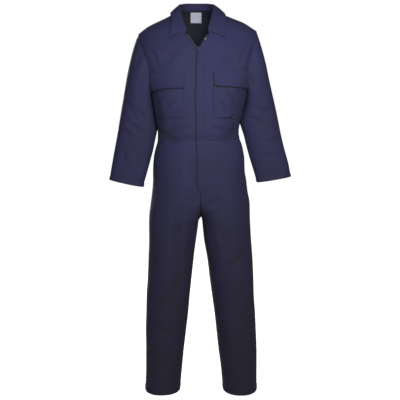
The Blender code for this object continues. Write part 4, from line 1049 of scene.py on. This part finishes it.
def cloth(name, place, grid, finish, relief=None, slot="navy_twill", thickness=CLOTH, amount=1.0):
    """A cut piece, creased by an amount, with the height of its sewing and painted shade in its creases and
    sewing. It rides on the suit.
    """
    bm = bmesh.new()
    bmesh.ops.create_grid(bm, x_segments=grid[0], y_segments=grid[1], size=0.5)
    bm.verts.ensure_lookup_table()
    start = np.array([vertex.co[:2] for vertex in bm.verts]) + 0.5
    column, row = np.rint(start * grid).astype(int).T
    across, down = np.meshgrid(*(np.linspace(0, 1, quads + 1) for quads in grid))
    base, normals = place(across, down)
    across_m, down_m = arcs(base, 1), arcs(base, 0)
    to_outer, to_foot = across_m[:, -1:] - across_m, down_m[-1:] - down_m
    points = creased(base, normals, amount(down_m) if callable(amount) else amount)
    pressed = ((base - points) * normals).sum(axis=-1)
    # painted shade, darker where a crease presses in deeper
    shade = TROUGH_SHADE * eased((pressed - SHADED_FROM) / SHADED_OVER)
    if relief:
        # the relief gives a height and a painted shade
        height, sewn = relief(across_m, to_outer, down_m, to_foot)
        points, shade = points + normals * height[..., None], np.maximum(shade, sewn)
    LAID_OUT[name] = (points, normals, across_m, down_m)
    for vertex, point in zip(bm.verts, points[row, column]):
        vertex.co = point
    bm.normal_update()
    if sum(vertex.normal.dot(Vector(normal)) for vertex, normal in zip(bm.verts, normals[row, column])) < 0:
        bmesh.ops.reverse_faces(bm, faces=bm.faces)
    mesh = mesh_of(name, bm)
    corner = np.zeros(len(mesh.loops), np.int32)
    mesh.loops.foreach_get("vertex_index", corner)
    middled = np.stack([across_m - across_m[:, -1:] / 2, down_m], axis=-1)[row, column][corner]
    mesh.uv_layers.new(name="UVMap").data.foreach_set("uv", middled.astype(np.float32).ravel())
    # the seam attribute carries the painted shade of seams, edges, troughs and the cloth under flaps and
    # placket
    seam = mesh.attributes.new("seam", "FLOAT", "POINT")
    seam.data.foreach_set("value", shade[row, column].astype(np.float32))
    made = placed(name, mesh, finish, 60)
    made["cut_width"] = float(across_m[:, -1].max())
    made["cut_length"] = float(down_m[-1].max())
    made["cut_area"] = quad_area(base)
    wall = made.modifiers.new("wall", "SOLIDIFY")
    wall.thickness = thickness
    wall.offset = -1
    if thickness == CLOTH:
        mesh.materials.append(INSIDE[0])
        wall.material_offset = 1
    return made


def weld(made, parts, distance):
    """Joins the meshes of some pieces into one, at the edges where they meet."""
    bm = bmesh.new()
    for part in parts:
        bm.from_mesh(part.data)
    bmesh.ops.remove_doubles(bm, verts=bm.verts, dist=distance)
    bm.to_mesh(made.data)
    bm.free()


def state_sheet(made, name):
    """Hides the solid that a piece stands in for."""
    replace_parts(made, name)


# Sewing in thread


def seam_line(name, edge, inset, low=0.0, high=1.0):
    """Shares along a line that keeps its distance from one edge of a piece."""
    _, _, across_m, down_m = LAID_OUT[name]
    upright = edge in ("inner", "outer")
    line = []
    grid = across_m if upright else down_m.T
    for along, run in zip(np.linspace(0, 1, len(grid)), grid):
        if low <= along <= high:
            at = inset if edge in ("inner", "top") else run[-1] - inset
            line.append((float(np.interp(at, run, np.linspace(0, 1, len(run)))), along))
    return line if upright else [(along, at) for at, along in line]


def boxed_path(name, inset):
    """Down one side of a small piece, along its foot and up the other side, a distance in."""
    _, _, across_m, down_m = LAID_OUT[name]
    aside, low, high = inset / across_m[0, -1], 1 - inset / down_m[-1, 0], 0.02
    corners = np.array([(aside, high), (aside, low), (1 - aside, low), (1 - aside, high)])
    pairs = zip(corners, corners[1:])
    return [blended(start, end, share) for start, end in pairs for share in np.linspace(0, 1, 40)]


def on_cloth(grid, across, down):
    """Values of a piece's grid at shares across and down."""
    rows, columns = grid.shape[0] - 1, grid.shape[1] - 1
    row = np.clip(np.floor(down * rows).astype(int), 0, rows - 1)
    column = np.clip(np.floor(across * columns).astype(int), 0, columns - 1)
    lower, right = (down * rows - row)[:, None], (across * columns - column)[:, None]
    above = blended(grid[row, column], grid[row, column + 1], right)
    below = blended(grid[row + 1, column], grid[row + 1, column + 1], right)
    return blended(above, below, lower)


def along_line(points, shares):
    """Points of a polyline at shares of its length."""
    length = arcs(points, 0)
    return np.stack([np.interp(shares * length[-1], length, points[:, axis]) for axis in range(3)], axis=-1)


def thread_row(group, name, path):
    """Records a row of stitches on a piece along a path of (across, down) shares."""
    points, normals, _, _ = LAID_OUT[name]
    across, down = np.array(path, float).T
    up = on_cloth(normals, across, down)
    line = on_cloth(points, across, down) + up * THREAD_LIFT
    ends = np.linspace(0, 1, max(int(arcs(line, 0)[-1] / STITCH_PITCH), 1) + 1)
    marks = along_line(line, ends)
    over = along_line(up, (ends[1:] + ends[:-1]) / 2)
    THREAD_ROWS.append((group, (marks[1:] + marks[:-1]) / 2, unit(marks[1:] - marks[:-1]), unit(over)))


def stitch(group, name, edge, insets, low=0.0, high=1.0):
    """Rows of stitches at some distances from one edge of a piece."""
    for inset in insets:
        thread_row(group, name, seam_line(name, edge, inset, low, high))


def sew(finish, pale):
    """One joined mesh of stitches for each group of rows: a stretched bead for each stitch."""
    for group in sorted({row[0] for row in THREAD_ROWS}):
        chosen = [row for row in THREAD_ROWS if row[0] == group]
        middles, along, up = (np.concatenate([row[part] for row in chosen]) for part in (1, 2, 3))
        sizes = (STITCH_PITCH * STITCH_HALF, THREAD_RADIUS, THREAD_RADIUS * THREAD_FLAT)
        axes = np.stack([along, np.cross(up, along), up], axis=1) * np.array(sizes)[:, None]
        bm = bmesh.new()
        bmesh.ops.create_icosphere(bm, subdivisions=1, radius=1)
        look = (pale, "label") if group == "tab" else (finish, "navy_twill")
        repeated("stitches_" + group, bm, middles, axes, *look, 180)


# Materials


def node(tree, kind, inputs=None, output=0, **settings):
    """A socket of a new node. inputs gives its own sockets values, or the sockets that feed them."""
    made = tree.nodes.new(kind)
    for name, value in settings.items():
        setattr(made, name, value)
    for name, value in (inputs or {}).items():
        if isinstance(value, bpy.types.NodeSocket):
            tree.links.new(value, made.inputs[name])
        else:
            made.inputs[name].default_value = value
    return made.outputs[output]


def new_material(name, colour, roughness, metallic=0.0):
    """A material, its node tree and its shader's inputs."""
    made = bpy.data.materials.new(name)
    made.use_nodes = True
    shader = made.node_tree.nodes["Principled BSDF"]
    shader.inputs["Base Color"].default_value = srgb(colour)
    shader.inputs["Roughness"].default_value = roughness
    shader.inputs["Metallic"].default_value = metallic
    return made, made.node_tree, shader.inputs


def navy_twill(name, pale, deep, shine):
    """Piece-dyed polyester-cotton work twill, 245 g/m2: matt, with steep diagonal ribs about 0.8 mm apart
    and a faint mottle from dyeing and pressing. The seam attribute mixes painted shade into seams, edges and
    troughs."""
    made, tree, inputs = new_material(name, deep, 0.86)
    add = partial(node, tree)
    here = add("ShaderNodeTexCoord", output="Object")
    mottle = add("ShaderNodeTexNoise", {"Vector": here, "Scale": 1 / MOTTLE_WIDTH, "Detail": 3.0}, "Fac")
    fleck = add("ShaderNodeTexNoise", {"Vector": here, "Scale": 1 / FLECK_WIDTH, "Detail": 2.0}, "Fac")
    clouds = add("ShaderNodeMapRange", {"Value": mottle, "From Min": 0.3, "From Max": 0.7})
    specks = add("ShaderNodeMapRange", {"Value": fleck, "From Min": 0.35, "From Max": 0.65, "To Max": 0.25})
    seam = add("ShaderNodeAttribute", output="Fac", attribute_name="seam")
    base = srgb(pale)
    # the last mix is painted shade, towards near black as the seam attribute rises
    for share, colour in ((clouds, deep), (specks, pale), (seam, "#0d0c1c")):
        base = add("ShaderNodeMix", {0: share, 6: base, 7: srgb(colour)}, 2, data_type="RGBA")
    tree.links.new(base, inputs["Base Color"])
    inputs["Specular IOR Level"].default_value = shine
    grain = add("ShaderNodeUVMap", uv_map="UVMap")
    turned = {"Vector": grain, "Rotation": (0.0, 0.0, TWILL_ANGLE), "Scale": (1 / TWILL_PITCH, 1.0, 1.0)}
    ribs = {"Vector": add("ShaderNodeMapping", turned), "Scale": WAVE_SCALE, "Distortion": 0.4, "Detail": 1.0}
    weave = add("ShaderNodeTexWave", ribs, "Fac", bands_direction="X")
    ribbed = add("ShaderNodeBump", {"Height": weave, "Strength": 0.35, "Distance": 0.00015})
    slubs = {"Height": fleck, "Strength": 0.25, "Distance": 0.0003, "Normal": ribbed}
    tree.links.new(add("ShaderNodeBump", slubs), inputs["Normal"])
    return made


def plain_finish(name, colour, roughness, metallic=0.0, grain=0.0):
    """A finish with a fine grain in its relief and roughness."""
    made, tree, inputs = new_material(name, colour, roughness, metallic)
    here = node(tree, "ShaderNodeTexCoord", output="Object")
    fine = node(tree, "ShaderNodeTexNoise", {"Vector": here, "Scale": 1 / GRAIN_WIDTH, "Detail": 2.0}, "Fac")
    spread = {"Value": fine, "To Min": roughness - 0.08, "To Max": roughness + 0.08}
    tree.links.new(node(tree, "ShaderNodeMapRange", spread), inputs["Roughness"])
    relief = {"Height": fine, "Strength": grain, "Distance": 0.0002}
    tree.links.new(node(tree, "ShaderNodeBump", relief), inputs["Normal"])
    return made


# Pieces


def make_fronts(finish):
    """The two upper fronts, each with its side seam and its half of the waist seam."""
    for side, word in SIDES.items():
        place, relief = partial(bodice_place, side, False), partial(bodice_relief, side, False)
        made = cloth("twill_front_bodice_" + word, place, BODICE_GRID, finish, relief)
        state_sheet(made, "front_bodice_" + word)
        stitch("fronts", made.name, "outer", TWIN_ROWS, 0.0, 1 - UNDERARM_ROW / FRONT_LAST)
        stitch("fronts", made.name, "foot", TWIN_ROWS)


def make_back(finish):
    """Each half runs from centre back, where they are joined into one cut piece."""
    halves = []
    for side, word in SIDES.items():
        place, relief = partial(bodice_place, side, True), partial(bodice_relief, side, True)
        halves.append(cloth("half_back_" + word, place, BODICE_GRID, finish, relief))
        for edge in ("outer", "foot", "top"):
            stitch("back", halves[-1].name, edge, TWIN_ROWS)
    joined, other = halves
    weld(joined, halves, BACK_WELD)
    for size in ("cut_width", "cut_area"):
        joined[size] += other[size]
    bpy.data.objects.remove(other)
    joined.name = joined.data.name = "twill_back_bodice"
    state_sheet(joined, "back_bodice")


def make_trousers(finish):
    """Two panels to each leg. The felled seams are sewn from the back, and the centre front below the fly."""
    below_fly = [LEG_LEVELS.index(level) / (len(LEG_LEVELS) - 1) for level in (FLY_FOOT_Z, CROTCH_Z)]
    for side, word in SIDES.items():
        for behind, name in enumerate(("front_leg_" + word, "back_leg_" + word)):
            place, relief = partial(leg_place, side, behind), partial(leg_relief, side, behind)
            made = cloth("twill_" + name, place, LEG_GRID, finish, relief)
            state_sheet(made, name)
            group = "trousers_" + word
            if behind:
                stitch(group, made.name, "outer", TWIN_ROWS)
                stitch(group, made.name, "inner", TWIN_ROWS)
            elif side == LEFT:
                stitch(group, made.name, "inner", TWIN_ROWS, *below_fly)
            stitch(group, made.name, "foot", [HEM_ROW])


def below_armhole(down_m):
    """How much of a sleeve's creases shows: none at the armhole, and all a few centimetres below it."""
    return eased((down_m - LAP) / CREASES_FADE)


def make_sleeves(finish):
    """Each sleeve is one sheet, closed under the arm."""
    for side, word in SIDES.items():
        place, relief = partial(sleeve_place, side), partial(sleeve_relief, side)
        made = cloth("twill_sleeve_" + word, place, SLEEVE_GRID, finish, relief, amount=below_armhole)
        weld(made, [made], SLEEVE_WELD)
        state_sheet(made, "sleeve_" + word)
        stitch("sleeves", made.name, "foot", [HEM_ROW])
        stitch("sleeves", made.name, "inner", TWIN_ROWS, 0.04)


def make_collar(finish):
    """Stand and fall in one piece, folded over at the roll and sewn round its free edge."""
    relief = partial(topstitched, EDGE_ROW, COLLAR_EDGE_SHADE, COLLAR_EDGE_SHADE_WIDTH)
    look = {"thickness": DOUBLE_CLOTH, "amount": 0.0}
    made = cloth("twill_collar", collar_place, COLLAR_GRID, finish, relief, **look)
    state_sheet(made, "collar")
    stitch("collar", made.name, "foot", [EDGE_ROW], 0.02, 0.98)
    for edge in ("inner", "outer"):
        stitch("collar", made.name, edge, [EDGE_ROW], 0.5, 0.93)


def pocket_out(across, down):
    """How far a patch pocket stands off its front, bellied in the middle."""
    return LAY_GAP + CLOTH + POCKET_BELLY * np.sin(down * math.pi) * np.sin(across * math.pi)


def flap_out(across, down):
    """How far a flap stands off its front: more at its foot, and most at the foot's inner corner."""
    swell = FLAP_BELLY * down * np.sin(across * math.pi) + FLAP_CORNER * down * (1 - across) ** 3
    return LAY_GAP + CLOTH + FLAP_GAP + DOUBLE_CLOTH + FLAP_TILT * down**1.5 + swell


def make_pockets(finish):
    """The two patch pockets and the flaps over them."""
    for side, word in SIDES.items():
        place = partial(quad_place, side, POCKET[side], pocket_out, 1.0)
        made = cloth("twill_chest_pocket_" + word, place, POCKET_GRID, finish, partial(pocket_relief, side))
        state_sheet(made, "chest_pocket_" + word)
        for inset in PATCH_ROWS:
            thread_row("pockets", made.name, boxed_path(made.name, inset))
        place = partial(quad_place, side, FLAP[side], flap_out, FLAP_BOW[side])
        relief = partial(flap_relief, side)
        made = cloth("twill_pocket_flap_" + word, place, FLAP_GRID, finish, relief, thickness=DOUBLE_CLOTH)
        state_sheet(made, "pocket_flap_" + word)
        thread_row("pockets", made.name, boxed_path(made.name, EDGE_ROW))
        stitch("pockets", made.name, "top", TWIN_ROWS)


def placket_shape(across, up, closed_z):
    """It narrows up the open neck, where it runs just inside the front's edge."""
    width = across * blended(PLACKET_WIDTH, PLACKET_TOP_WIDTH, up)
    closed_x = read(PLACKET, "edge_x", closed_z) + across * PLACKET_WIDTH
    return width - PLACKET_INSET, across * PLACKET_SLANT * up, closed_x


def tape_shape(across, up, closed_z):
    """It reaches past the front's edge at the open neck, and up to the other tape where it is closed."""
    return tuple(blended(*ends, across) for ends in TAPE_SPAN)


def make_placket(finish):
    """The covering strip down the closed zip, and up the wearer's left of the open neck."""
    out = LAY_GAP + DOUBLE_CLOTH
    place = partial(strip_place, LEFT, PLACKET_OPEN, PLACKET_TOP, placket_shape, out)
    made = cloth("twill_fly_placket", place, PLACKET_GRID, finish, placket_relief, thickness=DOUBLE_CLOTH)
    state_sheet(made, "fly_placket")
    for edge, inset in PLACKET_ROWS.items():
        stitch("placket", made.name, edge, [inset])


def make_zip(tape_finish, tooth_finish):
    """Two tapes behind the fronts' edges, with a row of teeth along each inner edge."""
    for side, word in SIDES.items():
        place = partial(strip_place, side, TAPE_OPEN, TAPE_TOP, tape_shape, -CLOTH - LAY_GAP)
        made = cloth("woven_zip_tape_" + word, place, TAPE_GRID, tape_finish, slot="zip_tape", thickness=TAPE)
        state_sheet(made, "zip_tape_" + word)
        make_teeth(side, made.name, tooth_finish)


def make_teeth(side, tape, finish):
    """Moulded teeth along a tape's inner edge, each row half a pitch from the other."""
    points, normals, _, _ = LAID_OUT[tape]
    down = np.linspace(0.005, 0.995, 500)
    across = TOOTH_LINE + 0 * down
    line = on_cloth(points, across, down)
    length = arcs(line, 0)[-1]
    at = np.arange(0.001 + (0.5 * TOOTH_PITCH if side == LEFT else 0), length, TOOTH_PITCH) / length
    middles = along_line(line, at)
    along = unit(np.gradient(middles, axis=0))
    beside = unit(np.cross(along_line(on_cloth(normals, across, down), at), along))
    axes = np.stack([along, beside, np.cross(along, beside)], axis=1) * np.array(TOOTH)[:, None]
    bm = bmesh.new()
    bmesh.ops.create_cube(bm, size=1)
    bmesh.ops.bevel(bm, geom=bm.edges[:], offset=TOOTH_BEVEL, segments=1, affect="EDGES", profile=0.5)
    bmesh.ops.triangulate(bm, faces=bm.faces[:])
    repeated("zip_teeth_" + SIDES[side], bm, middles, axes, finish, "enamel", 30)


def make_label(finish):
    """A plain woven label inside the back of the neck."""
    look = {"slot": "label", "thickness": TAPE, "amount": 0.0}
    made = cloth("satin_neck_label", label_place, LABEL_GRID, finish, **look)
    state_sheet(made, "neck_label")


def make_tab(finish):
    """A small plain tab, sewn in at the outer lower corner of the wearer's left pocket."""
    out = LAY_GAP + CLOTH + TAB_GAP + TAPE
    place = partial(quad_place, LEFT, TAB, lambda across, down: out + 0 * across, 1.0)
    made = cloth("twill_side_tab", place, TAB_GRID, finish, thickness=TAPE)
    state_sheet(made, "side_tab")
    stitch("tab", made.name, "foot", TAB_ROWS, 0.15, 0.85)


def make_stud(finish):
    """The cap of a press stud: a spun disc with a rolled rim and a dished middle."""
    angle = angle_off(LEFT, STUD_OFFSET, STUD_Z)
    point, normal = on_trunk(LEFT, angle, np.array(STUD_Z), LAY_GAP + DOUBLE_CLOTH + STUD_GAP)
    bm = bmesh.new()
    line = [bm.verts.new((radius, 0.0, height)) for radius, height in STUD_PROFILE]
    edges = [bm.edges.new(pair) for pair in zip(line, line[1:])]
    turn = {"cent": (0, 0, 0), "axis": (0, 0, 1), "angle": 2 * math.pi, "steps": 32}
    bmesh.ops.spin(bm, geom=line + edges, use_merge=True, **turn)
    bmesh.ops.remove_doubles(bm, verts=bm.verts, dist=1e-6)
    bmesh.ops.recalc_face_normals(bm, faces=bm.faces)
    facing = Vector(normal).to_track_quat("Z", "Y").to_matrix().to_4x4()
    facing.translation = Vector(point)
    bmesh.ops.transform(bm, matrix=facing, verts=bm.verts)
    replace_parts(placed("press_stud_cap", mesh_of("press_stud_cap", bm), finish), "neck_stud")


def repaint(name, finish):
    """A solid whose shape is right keeps it, and takes a finish."""
    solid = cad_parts[name]
    solid.data.materials.clear()
    solid.data.materials.append(finish)


# Studio


def area_light(name, place, aim, size, power_w, spread, colour):
    """A softbox turned towards its aim, which the camera does not see."""
    lamp = bpy.data.lights.new(name, "AREA")
    lamp.shape = "RECTANGLE"
    lamp.size, lamp.size_y = size
    lamp.energy = power_w
    lamp.spread = math.radians(spread)
    lamp.color = srgb(colour)[:3]
    made = bpy.data.objects.new(name, lamp)
    made.location = place
    made.rotation_euler = (Vector(aim) - Vector(place)).to_track_quat("-Z", "Y").to_euler()
    made.visible_camera = False
    bpy.context.scene.collection.objects.link(made)


def seen_white(tree, unseen):
    """White where it is looked at, and a lower strength where it only lights the suit."""
    seen = node(tree, "ShaderNodeLightPath", output="Is Camera Ray")
    return node(tree, "ShaderNodeMapRange", {"Value": seen, "To Min": unseen})


def studio():
    """A white room and floor that light softly from all round, and the lights of the table."""
    world = bpy.data.worlds.new("studio")
    world.use_nodes = True
    bpy.context.scene.world = world
    sky = world.node_tree.nodes["Background"].inputs
    sky["Color"].default_value = srgb("#ffffff")
    world.node_tree.links.new(seen_white(world.node_tree, AMBIENT), sky["Strength"])
    bm = bmesh.new()
    bmesh.ops.create_circle(bm, cap_ends=True, radius=30, segments=64)
    bmesh.ops.translate(bm, verts=bm.verts, vec=(0, 0, FLOOR_Z))
    floor = bpy.data.objects.new("floor", mesh_of("floor", bm))
    pale, tree, inputs = new_material("painted_floor", "#bcbcbc", 0.9)
    inputs["Emission Color"].default_value = srgb("#ffffff")
    tree.links.new(seen_white(tree, 0.0), inputs["Emission Strength"])
    floor.data.materials.append(pale)
    bpy.context.scene.collection.objects.link(floor)
    for name, row in LIGHTS.items():
        area_light(name, *row)
    bpy.context.scene.view_settings.view_transform = "Standard"


def camera():
    """Level with the chest, tilted down a little, as far as a person stands back to see the whole suit."""
    eye = bpy.data.cameras.new("camera")
    eye.sensor_width = 36
    eye.lens = CAMERA_LENS
    made = bpy.data.objects.new("camera", eye)
    made.location = CAMERA_PLACE
    made.rotation_euler = (math.radians(90 - CAMERA_TILT), 0, 0)
    bpy.context.scene.collection.objects.link(made)
    bpy.context.scene.camera = made


def main():
    twill = navy_twill("polyester_cotton_twill", "#1e194d", "#1a1642", 0.66)
    # the twill's wrong side: greyer and duller, and darker as painted shade, so that the hollow inside reads
    # as depth
    INSIDE.append(navy_twill("shaded_twill_wrong_side", "#211d2d", "#1c1826", 0.4))
    # a shade paler than the cloth, so that its rows only just show
    thread = plain_finish("polyester_thread", "#31314e", 0.7, grain=0.2)
    # near white: three short lines on the tab
    pale_thread = plain_finish("pale_polyester_thread", "#c9c9cf", 0.7, grain=0.2)
    # dull and almost black beside the twill
    tape = plain_finish("knitted_zip_tape", "#191926", 0.8, grain=0.3)
    # smooth grey plastic: a pale dotted line in the open neck
    acetal = plain_finish("acetal_teeth", "#5a5a6e", 0.45)
    # dark, with a soft highlight
    enamel = plain_finish("enamelled_zinc", "#19192c", 0.6)
    # a satin metal glint on the stud's rim
    nickel = plain_finish("nickel_plated_brass", "#a2a2aa", 0.40, metallic=1.0)
    # the one pale patch inside the neck, with a silky bloom
    satin = plain_finish("woven_satin", "#c8c0de", 0.55, grain=0.3)
    make_fronts(twill)
    make_back(twill)
    make_trousers(twill)
    make_sleeves(twill)
    make_collar(twill)
    make_pockets(twill)
    make_placket(twill)
    make_zip(tape, acetal)
    make_label(satin)
    make_tab(twill)
    make_stud(nickel)
    repaint("zip_slider", enamel)
    repaint("pull_tab", enamel)
    sew(thread, pale_thread)
    studio()
    camera()


main()
